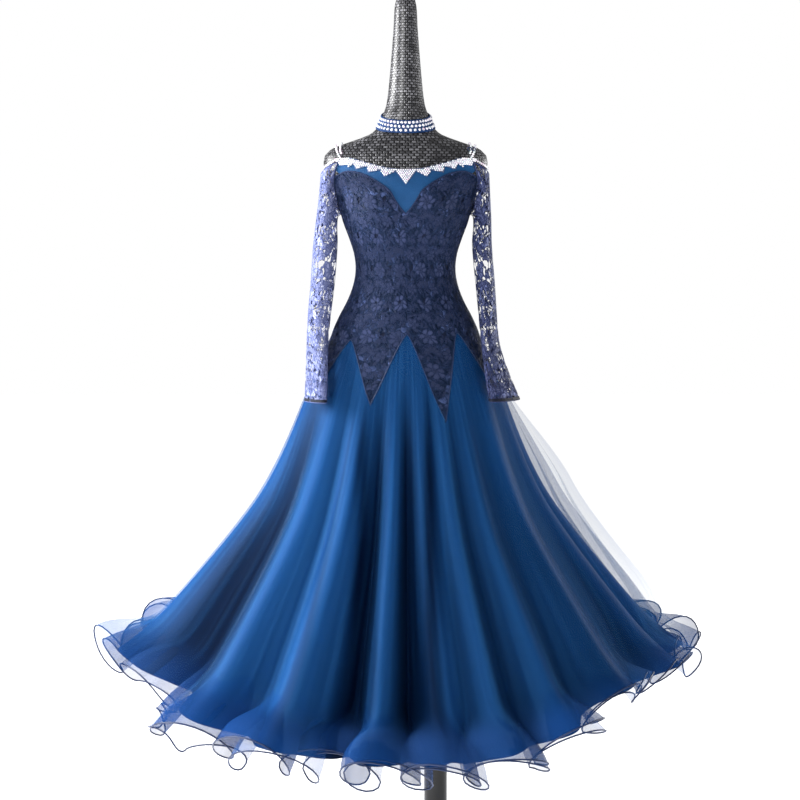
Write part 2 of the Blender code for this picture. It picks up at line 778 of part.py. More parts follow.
def make_sleeve(collection, look, word, table, side):
    """A lace sleeve in two halves that meet down its inner and outer lines."""
    bottom = table[-1][0]
    wide = SLEEVE_FLAT_WIDTH
    seam = SEAM_GAP / 2 / wide
    lines = ([wide * k / 4 for k in range(1, 4)], [row[0] for row in table])
    for place, half in (("front", 1), ("back", -1)):
        ring = [(seam, bottom), (1.0 - seam, bottom), (1.0 - seam, SLEEVE_TOP_OUTER),
                (0.75, SLEEVE_TOP_OUTER + 0.010)]
        for k in range(5, 0, -1):
            height = UNDERARM + (SLEEVE_TOP_INNER - UNDERARM) * k / 5
            ring.append((armhole_share(height), height))
        ring.append((seam, UNDERARM - 0.004))
        outline = spaced([(share * wide, height) for share, height in ring], SLEEVE_SIDE)
        gaps = lace_gaps(outline, SLEEVE_MARGIN, 2)

        def surface(u, v, half=half):
            return sleeve_point(table, side, half, u / wide, v)

        start = -WALL if side * half > 0 else 0.0
        panel(f"sleeve_{word}_{place}", outline, gaps, lines, surface, start, WALL,
              look, collection)


def make_choker(collection, look):
    columns = FORM_SIDES
    rows = []
    for part in (0.0, 0.5, 1.0):
        row = []
        for k in range(columns):
            angle = 2 * math.pi * k / columns
            height = CHOKER_TOP - CHOKER_TILT * math.cos(angle) - CHOKER_HIGH * part
            row.append((angle, height))
        rows.append(row)
    ring_wall("choker", rows, form_point, CHOKER_OUT, CHOKER_WALL, look, collection)


def make_straps(collection, look):
    for word, side in (("left", -1), ("right", 1)):
        rows = []
        for part in (1.0, -1.0):
            turns = [(side * math.radians(a), h + part * r) for a, h, r in STRAP]
            rows.append(turns[::side])
        rows_wall(f"strap_{word}", rows, form_point, STRAP_OUT, STRAP_WALL, look, collection)


def make_strands(collection, look):
    for word, side in (("left", -1), ("right", 1)):
        curve = bpy.data.curves.new(f"shoulder_strand_{word}", "CURVE")
        curve.dimensions = "3D"
        curve.bevel_depth = STRAND_RADIUS
        curve.bevel_resolution = 1
        curve.use_fill_caps = True
        line = curve.splines.new("POLY")
        line.points.add(len(STRAND) - 1)
        for spot, (degrees, height) in zip(line.points, STRAND):
            turn = side * math.radians(degrees)
            out = normal_at(form_point, turn, height)
            place = form_point(turn, height) + out * (STRAND_RADIUS + SEAT_GAP)
            spot.co = (*place, 1.0)
        obj = bpy.data.objects.new(f"shoulder_strand_{word}", curve)
        obj.data.materials.append(look)
        collection.objects.link(obj)


def make_torso(collection, look):
    """The form: rings of a general figure, from its flat underside to the cone neck."""
    sides = FORM_SIDES
    heights = sorted({row[0] for row in FORM} | set(EXTRA_RINGS))
    mesh = bpy.data.meshes.new("form_torso")
    body = bmesh.new()
    rings = []
    for height in heights:
        rings.append([body.verts.new(form_point(2 * math.pi * k / sides, height))
                      for k in range(sides)])
    for low, high in zip(rings, rings[1:]):
        for k in range(sides):
            j = (k + 1) % sides
            body.faces.new((low[k], low[j], high[j], high[k]))
    body.faces.new(list(reversed(rings[0])))
    body.faces.new(rings[-1])
    bmesh.ops.recalc_face_normals(body, faces=body.faces)
    body.to_mesh(mesh)
    body.free()
    add_object("form_torso", mesh, look, collection)


def turned(name, profile, place, steps, look, collection):
    """A turned shape: its outer side runs down at +X, and both ends lie on the axis."""
    mesh = bpy.data.meshes.new(name)
    points = [(r, 0.0, z) for r, z in profile]
    mesh.from_pydata(points, [(k, k + 1) for k in range(len(points) - 1)], [])
    obj = add_object(name, mesh, look, collection)
    obj.location = place
    screw = obj.modifiers.new("Turn", "SCREW")
    screw.axis = "Z"
    screw.steps = steps
    screw.render_steps = steps
    screw.use_merge_vertices = True
    screw.merge_threshold = 0.0001
    return obj


def make_stand(collection, metal_look, disc_look):
    flange_low = TORSO_BOTTOM - SEAM_GAP - FLANGE_THICK
    turned("form_flange", ((0.0, FLANGE_THICK), (FLANGE_RADIUS, FLANGE_THICK),
                           (FLANGE_RADIUS, 0.0), (0.0, 0.0)),
           (POLE_X, POLE_Y, flange_low), 16, disc_look, collection)
    foot = BASE_THICK + 0.028
    pole_low = foot + SEAM_GAP
    pole_high = flange_low - SEAM_GAP
    turned("form_pole", ((0.0, pole_high), (POLE_RADIUS, pole_high),
                         (POLE_RADIUS, pole_low), (0.0, pole_low)),
           (POLE_X, POLE_Y, 0.0), 20, metal_look, collection)
    turned("form_base", ((0.0, foot), (0.031, foot), (0.036, BASE_THICK + 0.006),
                         (0.060, BASE_THICK + 0.003), (BASE_RADIUS - 0.004, BASE_THICK),
                         (BASE_RADIUS, BASE_THICK - 0.004), (BASE_RADIUS, 0.0), (0.0, 0.0)),
           (POLE_X, POLE_Y, 0.0), 28, metal_look, collection)


def main():
    clear_scene()
    dress = bpy.data.collections.new("Ballroom dance dress")
    bpy.context.scene.collection.children.link(dress)
    form = material("Form cloth", (0.02, 0.02, 0.022), 0.45)
    pole = material("Pole", (0.01, 0.01, 0.012), 0.15, 0.6)
    disc = material("Form board", (0.03, 0.03, 0.03), 0.6)
    lining = material("Lining", (0.03, 0.12, 0.32), 0.5)
    lace = material("Lace", (0.05, 0.06, 0.16), 0.7)
    satin = material("Satin", (0.03, 0.13, 0.42), 0.3)
    organza = material("Organza", (0.12, 0.25, 0.50), 0.35)
    stones = material("Stones", (0.75, 0.78, 0.85), 0.1, 0.2)
    band = material("Choker band", (0.05, 0.15, 0.38), 0.5)
    make_torso(dress, form)
    make_stand(dress, pole, disc)
    make_body(dress, lining, lace)
    make_trim(dress, stones)
    make_godets(dress, satin, organza)
    make_sleeve(dress, lace, "left", SLEEVE_LEFT, -1)
    make_sleeve(dress, lace, "right", SLEEVE_RIGHT, 1)
    make_choker(dress, band)
    make_straps(dress, stones)
    make_strands(dress, stones)


main()
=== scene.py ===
# %% [markdown]
# # A ballroom dance dress on its form
# A long-sleeved stage dress: lace over a plain lining down to the hips, see-through lace
# sleeves, a neck edge and choker of cut stones, and eight flared godets (the wedges let into
# a skirt) of satin under two layers of organza. It hangs on a limbless form on a pole.
# Every piece is laid on the same few curved surfaces, so nothing is fitted by eye.

import bisect
import functools
import math
import random

import bpy
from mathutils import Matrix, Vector
from mathutils.geometry import delaunay_2d_cdt


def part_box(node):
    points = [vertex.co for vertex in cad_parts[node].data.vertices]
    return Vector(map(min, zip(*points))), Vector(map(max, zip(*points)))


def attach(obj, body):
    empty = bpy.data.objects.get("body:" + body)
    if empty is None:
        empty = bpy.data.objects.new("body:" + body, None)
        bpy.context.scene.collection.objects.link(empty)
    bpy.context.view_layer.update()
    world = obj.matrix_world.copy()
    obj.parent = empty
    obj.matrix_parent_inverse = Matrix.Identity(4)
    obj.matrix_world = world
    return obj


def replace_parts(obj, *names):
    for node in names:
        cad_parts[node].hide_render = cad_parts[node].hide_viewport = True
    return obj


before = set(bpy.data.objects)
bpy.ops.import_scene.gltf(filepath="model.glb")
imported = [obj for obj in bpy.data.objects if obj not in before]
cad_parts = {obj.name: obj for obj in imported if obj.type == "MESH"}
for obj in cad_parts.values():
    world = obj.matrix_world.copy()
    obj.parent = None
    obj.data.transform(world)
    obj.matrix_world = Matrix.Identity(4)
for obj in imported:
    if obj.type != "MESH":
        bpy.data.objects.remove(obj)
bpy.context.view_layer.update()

# %% [markdown]
# ## The camera, the light and the floor
# The photograph looks slightly down at the dress from three metres. A dress this dark needs
# light that comes mostly from one side, here from the left and a little behind, or its folds
# would all look alike. The white world behind is the pale studio, and only a fifth of it
# falls on the dress.

# %% Camera, lamps and floor
scene = bpy.context.scene
scene.view_settings.view_transform = "Standard"

lens = bpy.data.cameras.new("Camera")
lens.lens = 63.0
lens.sensor_width = 36.0
camera = bpy.data.objects.new("Camera", lens)
camera.location = (-0.01183, -3.0, 1.262)
camera.rotation_euler = (math.radians(85.0), 0.0, 0.0)     # five degrees below level
scene.collection.objects.link(camera)
scene.camera = camera

studio = bpy.data.worlds.new("Pale studio")
studio.use_nodes = True
sky = studio.node_tree.nodes["Background"]
sky.inputs["Color"].default_value = (1.0, 1.0, 1.0, 1.0)
seen = studio.node_tree.nodes.new("ShaderNodeLightPath")
strength = studio.node_tree.nodes.new("ShaderNodeMapRange")
strength.inputs["To Min"].default_value = 0.22     # the light that falls on the dress
strength.inputs["To Max"].default_value = 1.0      # the white behind it
studio.node_tree.links.new(seen.outputs["Is Camera Ray"], strength.inputs["Value"])
studio.node_tree.links.new(strength.outputs["Result"], sky.inputs["Strength"])
scene.world = studio

LAMPS = (
    # name, place, aims at, size, power
    ("Window left", (-2.6, 0.1, 1.9), (0.0, 0.0, 0.9), 1.6, 150.0),
    ("Soft front", (-1.6, -2.8, 2.6), (0.0, 0.0, 1.0), 1.0, 40.0),
    ("Rim right", (2.4, 1.6, 1.6), (0.2, 0.0, 0.8), 1.2, 34.0),
)
for name, place, aim, size, power in LAMPS:
    lamp = bpy.data.lights.new(name, "AREA")
    lamp.size = size
    lamp.energy = power
    holder = bpy.data.objects.new(name, lamp)
    holder.location = place
    holder.rotation_euler = (Vector(aim) - Vector(place)).to_track_quat("-Z", "Y").to_euler()
    scene.collection.objects.link(holder)
print(len(LAMPS), "lamps and a white world")

# %% [markdown]
# ## Writing a finish as arithmetic
# A material is a tree of nodes. Placed one by one they hide what they do, so a wire out of a
# node is wrapped in a small class: `1 - mask * 0.4` then adds its own Math nodes. Numbers go
# through that class, and colours through a Mix node, because a Math node turns colour grey.

# %% Wires and finishes
class Wire:
    """A number or colour that comes out of a node."""

    def __init__(self, finish, socket):
        self.finish = finish
        self.socket = socket

    def maths(self, operation, first, second):
        return self.finish.node("ShaderNodeMath", {"operation": operation}, [first, second])

    def __add__(self, other):
        return self.maths("ADD", self, other)

    def __sub__(self, other):
        return self.maths("SUBTRACT", self, other)

    def __rsub__(self, other):
        return self.maths("SUBTRACT", other, self)

    def __mul__(self, other):
        return self.maths("MULTIPLY", self, other)

    def __pow__(self, other):
        return self.maths("POWER", self, other)

    __radd__ = __add__
    __rmul__ = __mul__

    def between(self, low, high):
        """0 below low, 1 above high, eased between them."""
        return self.finish.node("ShaderNodeMapRange", {"interpolation_type": "SMOOTHSTEP"},
                                {"Value": self, "From Min": low, "From Max": high})


class Finish:
    """A material, the nodes in it and its shader."""

    def __init__(self, name, **fixed):
        self.material = bpy.data.materials.new(name)
        self.material.use_nodes = True
        self.tree = self.material.node_tree
        self.shader = self.tree.nodes["Principled BSDF"]
        for socket, value in fixed.items():
            self.feed(self.shader.inputs[socket.replace("_", " ")], value)

    def feed(self, socket, value):
        if isinstance(value, Wire):
            self.tree.links.new(value.socket, socket)
        elif socket.type == "RGBA":
            socket.default_value = (*value, 1.0)
        else:
            socket.default_value = value

    def node(self, kind, settings=None, inputs=(), output=0):
        made = self.tree.nodes.new(kind)
        for key, value in (settings or {}).items():
            setattr(made, key, value)
        pairs = inputs.items() if isinstance(inputs, dict) else enumerate(inputs)
        for key, value in pairs:
            self.feed(made.inputs[key], value)
        return Wire(self, made.outputs[output])

    def mix(self, share, first, second):
        """The first colour at share 0, the second at 1."""
        return self.node("ShaderNodeMix", {"data_type": "RGBA"},
                         {0: share, 6: first, 7: second}, 2)

    def cut(self, wide, high):
        """Places on the flat cut, counted in cells of this width and height."""
        place = self.node("ShaderNodeUVMap", {"uv_map": "Cut"})
        return self.node("ShaderNodeMapping", {},
                         {"Vector": place, "Scale": (1.0 / wide, 1.0 / high, 1.0)})

    def noise(self, place, scale=1.0, detail=2.0):
        return self.node("ShaderNodeTexNoise", {},
                         {"Vector": place, "Scale": scale, "Detail": detail})

    def waves(self, place, direction):
        """Threads side by side, one a cell."""
        return self.node("ShaderNodeTexWave", {"bands_direction": direction},
                         {"Vector": place, "Scale": math.pi / 10.0}, 1)

    def value(self, name):
        """A number kept on the mesh's points under this name."""
        return self.node("ShaderNodeAttribute", {"attribute_name": name}, (), 2)

    def paint(self, **sockets):
        for socket, value in sockets.items():
            self.feed(self.shader.inputs[socket.replace("_", " ")], value)

    def emboss(self, height, depth):
        bump = self.node("ShaderNodeBump", {}, {"Height": height, "Distance": depth})
        self.paint(Normal=bump)


# %% Floor
floor_finish = Finish("Pale floor", Roughness=0.9, Emission_Color=(1.0, 1.0, 1.0),
                      Emission_Strength=0.85)
grain = floor_finish.noise(floor_finish.cut(0.05, 0.05))
floor_finish.paint(Base_Color=floor_finish.mix(grain, (0.93, 0.93, 0.93), (0.97, 0.97, 0.97)))
corners = ((-12.0, -12.0), (12.0, -12.0), (12.0, 12.0), (-12.0, 12.0))
ground = bpy.data.meshes.new("Floor")
ground.from_pydata([(*corner, 0.0) for corner in corners], [], [(0, 1, 2, 3)])
for place, corner in zip(ground.uv_layers.new(name="Cut").data, corners):
    place.uv = corner
ground.materials.append(floor_finish.material)
floor = bpy.data.objects.new("Floor", ground)
scene.collection.objects.link(floor)

# %% [markdown]
# ## The measures
# The dress is a set of curved surfaces, each read from a table of heights: the form's body,
# the flare of the skirt, and where its folds rise and fall. These are the measures that the
# solids were cut by, written again here, so that every piece of cloth lies where its solid is.

# %% Tables of the form and the skirt
WALL = 0.0012
LAYER_1 = 0.0013        # lining and satin start this far out from the form
LAYER_2 = 0.0037        # lace and organza start here
HIP_TOP = 1.14
SKIRT_DROP = 0.80
SIDE_LIFT = 0.10
FOLD_START = 0.08
FOLD_DEPTH = 0.052
RIDGE_RISE = 0.016
STAND_OFF = 0.013
BILLOW_START = 0.10
BILLOW_RISE = 0.35
BILLOW_END = 0.75
BILLOW_LOSS = 0.75
FLAT_RADIUS = 0.135     # turns an angle into a width where a body panel is laid flat
STEP = 0.0005           # how far apart a surface is read to find which way it faces
FOLD_GROWTH = 1.3       # folds, and then creases, deepen to the hem by these powers
CREASE_START = 0.16
CREASE_GROWTH = 1.2

# Form sections: height, half width, depth in front, depth behind
FORM = (
    (0.980, 0.148, 0.098, 0.110),
    (1.100, 0.157, 0.104, 0.118),
    (1.140, 0.153, 0.103, 0.116),
    (1.176, 0.138, 0.096, 0.108),
    (1.210, 0.120, 0.087, 0.095),
    (1.244, 0.107, 0.079, 0.083),
    (1.278, 0.1014, 0.073, 0.073),
    (1.312, 0.1045, 0.076, 0.072),
    (1.346, 0.115, 0.084, 0.076),
    (1.380, 0.1277, 0.092, 0.081),
    (1.410, 0.136, 0.097, 0.084),
    (1.440, 0.147, 0.098, 0.084),
    (1.470, 0.164, 0.093, 0.080),
    (1.500, 0.1735, 0.084, 0.072),
    (1.520, 0.170, 0.074, 0.065),
    (1.535, 0.152, 0.064, 0.060),
    (1.548, 0.116, 0.056, 0.057),
    (1.562, 0.078, 0.051, 0.055),
    (1.580, 0.057, 0.048, 0.053),
    (1.604, 0.048, 0.044, 0.049),
    (1.624, 0.0410, 0.040, 0.042),
    (1.660, 0.0358, 0.0358, 0.0358),
    (1.780, 0.0256, 0.0256, 0.0256),
    (1.826, 0.0231, 0.0231, 0.0231),
    (1.846, 0.0185, 0.0185, 0.0185),
    (1.860, 0.0080, 0.0080, 0.0080),
)

# Dress below the hip: cloth height at the front, then the same columns
SKIRT = (
    (1.140, 0.153, 0.103, 0.116),
    (1.100, 0.168, 0.113, 0.127),
    (1.060, 0.183, 0.124, 0.139),
    (1.020, 0.198, 0.134, 0.151),
    (0.980, 0.211, 0.145, 0.164),
    (0.900, 0.234, 0.172, 0.195),
    (0.820, 0.260, 0.204, 0.231),
    (0.740, 0.293, 0.241, 0.271),
    (0.660, 0.337, 0.281, 0.314),
    (0.580, 0.386, 0.324, 0.360),
    (0.500, 0.437, 0.369, 0.408),
    (0.440, 0.478, 0.404, 0.444),
    (0.390, 0.521, 0.434, 0.475),
    (0.340, 0.572, 0.464, 0.508),
    (0.300, 0.617, 0.488, 0.534),
)

# Bust: side offset, height, spread, fullness
BUST = (0.066, 1.400, 0.038, 0.016)

# Large folds right round the skirt: angle, and level from 1 (ridge) to -1 (valley)
FOLDS = (
    (-84.0, 1.15), (-62.0, -1.00), (-43.0, 0.90), (-34.0, -0.10),
    (-24.0, 1.00), (-13.0, -1.00), (-5.5, 0.55), (0.5, -1.05),
    (9.0, 0.60), (14.0, -0.20), (20.0, 0.60), (26.0, -0.35),
    (33.0, 0.55), (41.0, -0.25), (51.0, 0.70), (61.0, -0.20),
    (74.0, 0.75), (82.0, -0.30), (91.0, 0.90), (103.0, -0.80),
    (114.0, 0.80), (124.0, -0.90), (134.0, 0.70), (144.0, -0.80),
    (155.0, 0.90), (167.0, -0.90), (179.0, 0.80), (190.0, -0.60),
    (201.0, 0.90), (213.0, -0.90), (225.0, 0.70), (236.0, -0.80),
    (247.0, 0.90), (259.0, -0.70),
)

# Where the organza stands further off: angle, how far, spread
BILLOWS = (
    (90.0, 0.052, 34.0),
    (-90.0, -0.011, 34.0),
    (180.0, 0.020, 50.0),
)

# How much higher or lower the hem is cut: angle it is centred on, how much, spread
BOTH_HEMS = ((50.0, 0.030, 15.0),)

ORGANZA_CUT = ((-45.0, -0.034, 30.0), (10.0, -0.028, 28.0))

# Godets: middle angle in degrees from the front, height of the arch's top
GODETS = (
    (-135.0, 1.130),
    (-90.0, 1.125),
    (-46.0, 1.131),
    (1.0, 1.144),
    (44.0, 1.147),
    (90.0, 1.125),
    (135.0, 1.130),
    (180.0, 1.130),
)

# Seams between godets: angle, height of the lace point that ends there
SEAMS = (
    (-112.5, 0.998),
    (-67.5, 0.998),
    (-20.5, 0.998),
    (21.5, 0.962),
    (67.5, 0.998),
    (112.5, 0.998),
    (157.5, 0.998),
    (202.5, 0.998),
)

# Armhole: height, angle from the front
ARMHOLE = (
    (1.395, 90.0),
    (1.420, 83.5),
    (1.445, 74.0),
    (1.470, 63.5),
    (1.490, 56.0),
    (1.507, 50.6),
)

# Neck edge and lace edge on the right half: distance from the middle, height
FRONT_NECK = (
    (0.000, 1.4833), (0.033, 1.4858), (0.066, 1.4940),
    (0.094, 1.5025), (0.115, 1.5090), (0.134, 1.5070),
)

BACK_NECK = (
    (0.000, 1.4880), (0.040, 1.4900), (0.080, 1.4960),
    (0.110, 1.5030), (0.134, 1.5070),
)

SWEETHEART = (
    (0.000, 1.3930), (0.012, 1.4060), (0.0234, 1.4223), (0.0338, 1.4391),
    (0.0534, 1.4545), (0.0793, 1.4701), (0.0989, 1.4778), (0.1185, 1.4810),
    (0.1330, 1.4778),
)

BACK_LACE = (
    (0.000, 1.4350), (0.040, 1.4450), (0.080, 1.4640), (0.110, 1.4760),
    (0.1330, 1.4778),
)

# Lower edge of the stone trim: points and the notches between them
TRIM_EDGE = (
    (0.000, 1.4507), (0.021, 1.4785), (0.043, 1.4669), (0.052, 1.4810),
    (0.0771, 1.4767), (0.0795, 1.4895), (0.1019, 1.4844), (0.106, 1.4950),
    (0.1189, 1.4882), (0.126, 1.4960),
)

# Sleeves: height, centre out from the axis, centre forward, half thickness,
# half depth, turn towards the front in degrees
SLEEVE_LEFT = (
    (1.500, 0.147, 0.000, 0.031, 0.062, 0.0),
    (1.440, 0.154, 0.000, 0.029, 0.058, 0.0),
    (1.390, 0.1665, 0.002, 0.0225, 0.052, 0.0),
    (1.330, 0.1705, 0.006, 0.0255, 0.050, 2.0),
    (1.244, 0.1765, 0.018, 0.0250, 0.047, 6.0),
    (1.193, 0.1815, 0.032, 0.0240, 0.045, 10.0),
    (1.140, 0.1850, 0.052, 0.0210, 0.043, 17.0),
    (1.090, 0.1855, 0.076, 0.0170, 0.041, 27.0),
    (1.040, 0.1860, 0.100, 0.0140, 0.038, 34.0),
    (1.006, 0.1870, 0.112, 0.0130, 0.036, 37.0),
)

SLEEVE_RIGHT = (
    (1.500, 0.146, 0.000, 0.030, 0.062, 0.0),
    (1.440, 0.152, 0.000, 0.027, 0.058, 0.0),
    (1.390, 0.1625, 0.002, 0.0190, 0.050, 0.0),
    (1.330, 0.1625, 0.006, 0.0205, 0.048, 2.0),
    (1.244, 0.1695, 0.018, 0.0200, 0.046, 5.0),
    (1.193, 0.1730, 0.032, 0.0190, 0.044, 9.0),
    (1.126, 0.1780, 0.056, 0.0170, 0.042, 17.0),
    (1.080, 0.1870, 0.075, 0.0170, 0.043, 27.0),
    (1.041, 0.1965, 0.090, 0.0180, 0.046, 34.0),
    (1.008, 0.2060, 0.099, 0.0190, 0.050, 38.0),
)

# Strap over each shoulder: angle, height of its middle, half its rise
STRAP = (
    (51.0, 1.5140, 0.0050),
    (58.0, 1.5270, 0.0040),
    (68.0, 1.5355, 0.0030),
    (80.0, 1.5390, 0.0025),
    (90.0, 1.5400, 0.0025),
    (100.0, 1.5390, 0.0025),
    (112.0, 1.5355, 0.0030),
    (122.0, 1.5270, 0.0040),
    (129.0, 1.5140, 0.0050),
)

# Strand round the shoulder just above the sleeve: angle, height
STRAND = (
    (54.0, 1.5075), (62.0, 1.5010), (72.0, 1.4960), (81.0, 1.4930), (90.0, 1.4920),
    (99.0, 1.4930), (108.0, 1.4960), (118.0, 1.5010), (126.0, 1.5075),
)

# Gaps in a repeat of the lace: place across, place up, half length, half width, turn
LACE_GAPS = (
    (0.25, 0.30, 0.0085, 0.0042, 62.0),
    (0.72, 0.58, 0.0075, 0.0038, -48.0),
)

# Creases laid in one by one: angle, half width in degrees, depth at the hem
CREASES = (
    (-73.0, 4.0, 0.008), (-62.0, 3.0, -0.012), (-50.0, 3.4, 0.006), (-34.0, 2.8, -0.008),
    (-28.5, 2.2, 0.006), (-20.5, 1.6, -0.005), (-13.0, 2.0, -0.026), (-8.5, 1.8, 0.006),
    (-3.0, 1.8, -0.006), (0.6, 1.8, -0.024), (4.6, 1.8, 0.006), (8.6, 1.5, -0.016),
    (14.0, 2.2, 0.005), (21.5, 1.8, -0.005), (27.0, 2.6, -0.005), (35.0, 3.4, 0.005),
    (46.0, 3.6, -0.006), (57.0, 3.2, 0.006), (67.5, 3.0, -0.006), (80.0, 3.4, 0.006),
    (97.0, 3.0, 0.006), (112.5, 3.0, -0.007), (121.0, 2.6, 0.006), (138.0, 3.0, -0.007),
    (149.0, 2.6, 0.006), (162.0, 3.0, -0.007), (174.0, 2.8, 0.006), (186.0, 2.6, -0.006),
    (207.0, 3.0, -0.008), (219.0, 2.6, 0.006), (231.0, 3.0, -0.007), (253.0, 2.8, -0.007),
    (265.0, 2.6, 0.006),
)


# %% Curves through the tables
SORTED = {}
KEPT = 400000           # results kept, because the layers ask for the same places again


def read_table(table, at, column):
    """One column of a table at a height, on a smooth curve through its rows."""
    SORTED.setdefault(id(table), sorted(table))
    return read_sorted(id(table), at, column)


@functools.lru_cache(maxsize=KEPT)
def read_sorted(key, at, column):
    rows = SORTED[key]
    last = len(rows) - 1
    if at <= rows[0][0]:
        return rows[0][column]
    if at >= rows[last][0]:
        return rows[last][column]
    k = bisect.bisect_right(rows, (at, 1e9)) - 1

    def slope(i):
        low, high = rows[max(i - 1, 0)], rows[min(i + 1, last)]
        return (high[column] - low[column]) / (high[0] - low[0])

    span = rows[k + 1][0] - rows[k][0]
    t = (at - rows[k][0]) / span
    return ((2 * t**3 - 3 * t**2 + 1) * rows[k][column] + (t**3 - 2 * t**2 + t) * slope(k) * span
            + (3 * t**2 - 2 * t**3) * rows[k + 1][column] + (t**3 - t**2) * slope(k + 1) * span)


def ease(t):
    t = max(0.0, min(1.0, t))
    return t * t * (3.0 - 2.0 * t)


def apart(angle, middle):
    """Degrees from the middle to an angle given in radians, the short way round."""
    return (math.degrees(angle) - middle + 180.0) % 360.0 - 180.0


def swell(angle, bumps):
    """The sum of soft bumps round the skirt, each with its angle, size and spread."""
    return sum(size * math.exp(-((apart(angle, middle) / spread) ** 2))
               for middle, size, spread in bumps)


# %% Surfaces of the form and the skirt
def form_point(angle, height):
    """A point on the form: angle from the front, towards +X."""
    side, front, back = (read_table(FORM, height, c) for c in (1, 2, 3))
    turn = math.cos(angle)
    point = Vector((side * math.sin(angle), -(front if turn > 0 else back) * turn, height))
    offset, level, spread, fullness = BUST
    if turn > 0:
        for hand in (-1, 1):
            away = (point.x - hand * offset) ** 2 + (height - level) ** 2
            point.y -= fullness * math.exp(-away / (2 * spread**2)) * turn**0.5
    return point


FOLD_ROWS = FOLDS + ((FOLDS[0][0] + 360.0, FOLDS[0][1]),)
FOLD_TURNS = [row[0] for row in FOLD_ROWS]


@functools.lru_cache(maxsize=KEPT)
def fold_wave(angle):
    """Level of the large folds at an angle, eased from each ridge to the next valley."""
    degrees = (math.degrees(angle) - FOLD_TURNS[0]) % 360.0 + FOLD_TURNS[0]
    k = min(bisect.bisect_right(FOLD_TURNS, degrees), len(FOLD_ROWS) - 1) - 1
    (low, start), (high, end) = FOLD_ROWS[k], FOLD_ROWS[k + 1]
    return start + (end - start) * ease((degrees - low) / (high - low))


@functools.lru_cache(maxsize=KEPT)
def creases_at(angle):
    total = 0.0
    for middle, spread, depth in CREASES:
        away = apart(angle, middle)
        if abs(away) < 3.0 * spread:
            total += depth * math.exp(-((away / spread) ** 2))
    return total


def crease(angle, down):
    """The listed creases: they start below the hip and deepen to the hem."""
    grown = max(0.0, (down - CREASE_START) / (1.0 - CREASE_START)) ** CREASE_GROWTH
    return creases_at(angle) * grown


def outwards(angle):
    return Vector((math.sin(angle), -math.cos(angle), 0.0))


def dress_point(angle, height, creased=0.0):
    """The dress's own surface: the form above the hip, below it the satin skirt, with the
    share of the creases that a layer follows."""
    if height >= HIP_TOP:
        return form_point(angle, height)
    down = (HIP_TOP - height) / SKIRT_DROP
    drop = (SKIRT_DROP - SIDE_LIFT * math.sin(angle) ** 2) * down
    side, front, back = (read_table(SKIRT, height, c) for c in (1, 2, 3))
    turn = math.cos(angle)
    point = Vector((side * math.sin(angle), -(front if turn > 0 else back) * turn, HIP_TOP - drop))
    wave = fold_wave(angle)
    depth = FOLD_DEPTH * max(0.0, (down - FOLD_START) / (1.0 - FOLD_START)) ** FOLD_GROWTH
    point += outwards(angle) * (depth * wave + creased * crease(angle, down))
    point.z += RIDGE_RISE * wave * down**2
    return point


def stand_off(angle, down):
    """How far the organza stands off the satin: most half way down and at the sides."""
    size = STAND_OFF + swell(angle, BILLOWS)
    grown = ease((down - BILLOW_START) / BILLOW_RISE)
    return size * grown * (1.0 - BILLOW_LOSS * ease((down - BILLOW_END) / (1.0 - BILLOW_END)))


def normal_at(surface, u, v):
    across = surface(u + STEP, v) - surface(u - STEP, v)
    along = surface(u, v + STEP) - surface(u, v - STEP)
    return across.cross(along).normalized()


def on_dress(u, v):
    """The same surface for a body panel, whose flat cut is in metres."""
    return dress_point(u / FLAT_RADIUS, v)


print("Skirt at the hem is", round(2 * read_table(SKIRT, 0.34, 1), 3), "metres wide")

# %% [markdown]
# ## Making a piece of cloth
# Cloth is drawn flat, as a pattern cutter does, and then laid on a curved surface: each flat
# point is sent to its place there and lifted by the layer's distance. The flat drawing stays
# as the piece's UV map, in metres, so that a weave has its real size on every piece.

# %% Pieces, threads and heaps of small parts
def piece(name, points, faces, finish, cut=None, values=None, slot=None, smooth=True):
    """A mesh object that rides on the dress."""
    mesh = bpy.data.meshes.new(name)
    mesh.from_pydata(points, [], faces)
    if cut:
        layer = mesh.uv_layers.new(name="Cut").data
        for loop in mesh.loops:
            layer[loop.index].uv = cut[loop.vertex_index]
    for key, numbers in (values or {}).items():
        mesh.attributes.new(key, "FLOAT", "POINT").data.foreach_set("value", numbers)
    mesh.materials.append(finish.material)
    if smooth:
        mesh.shade_smooth()
    made = bpy.data.objects.new(name, mesh)
    scene.collection.objects.link(made)
    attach(made, "root")
    return made


def quads(rows, columns):
    """Faces of a grid whose points come row by row, each row going round to its right."""
    wide = columns + 1
    return [(r * wide + k, r * wide + k + 1, (r + 1) * wide + k + 1, (r + 1) * wide + k)
            for r in range(rows) for k in range(columns)]


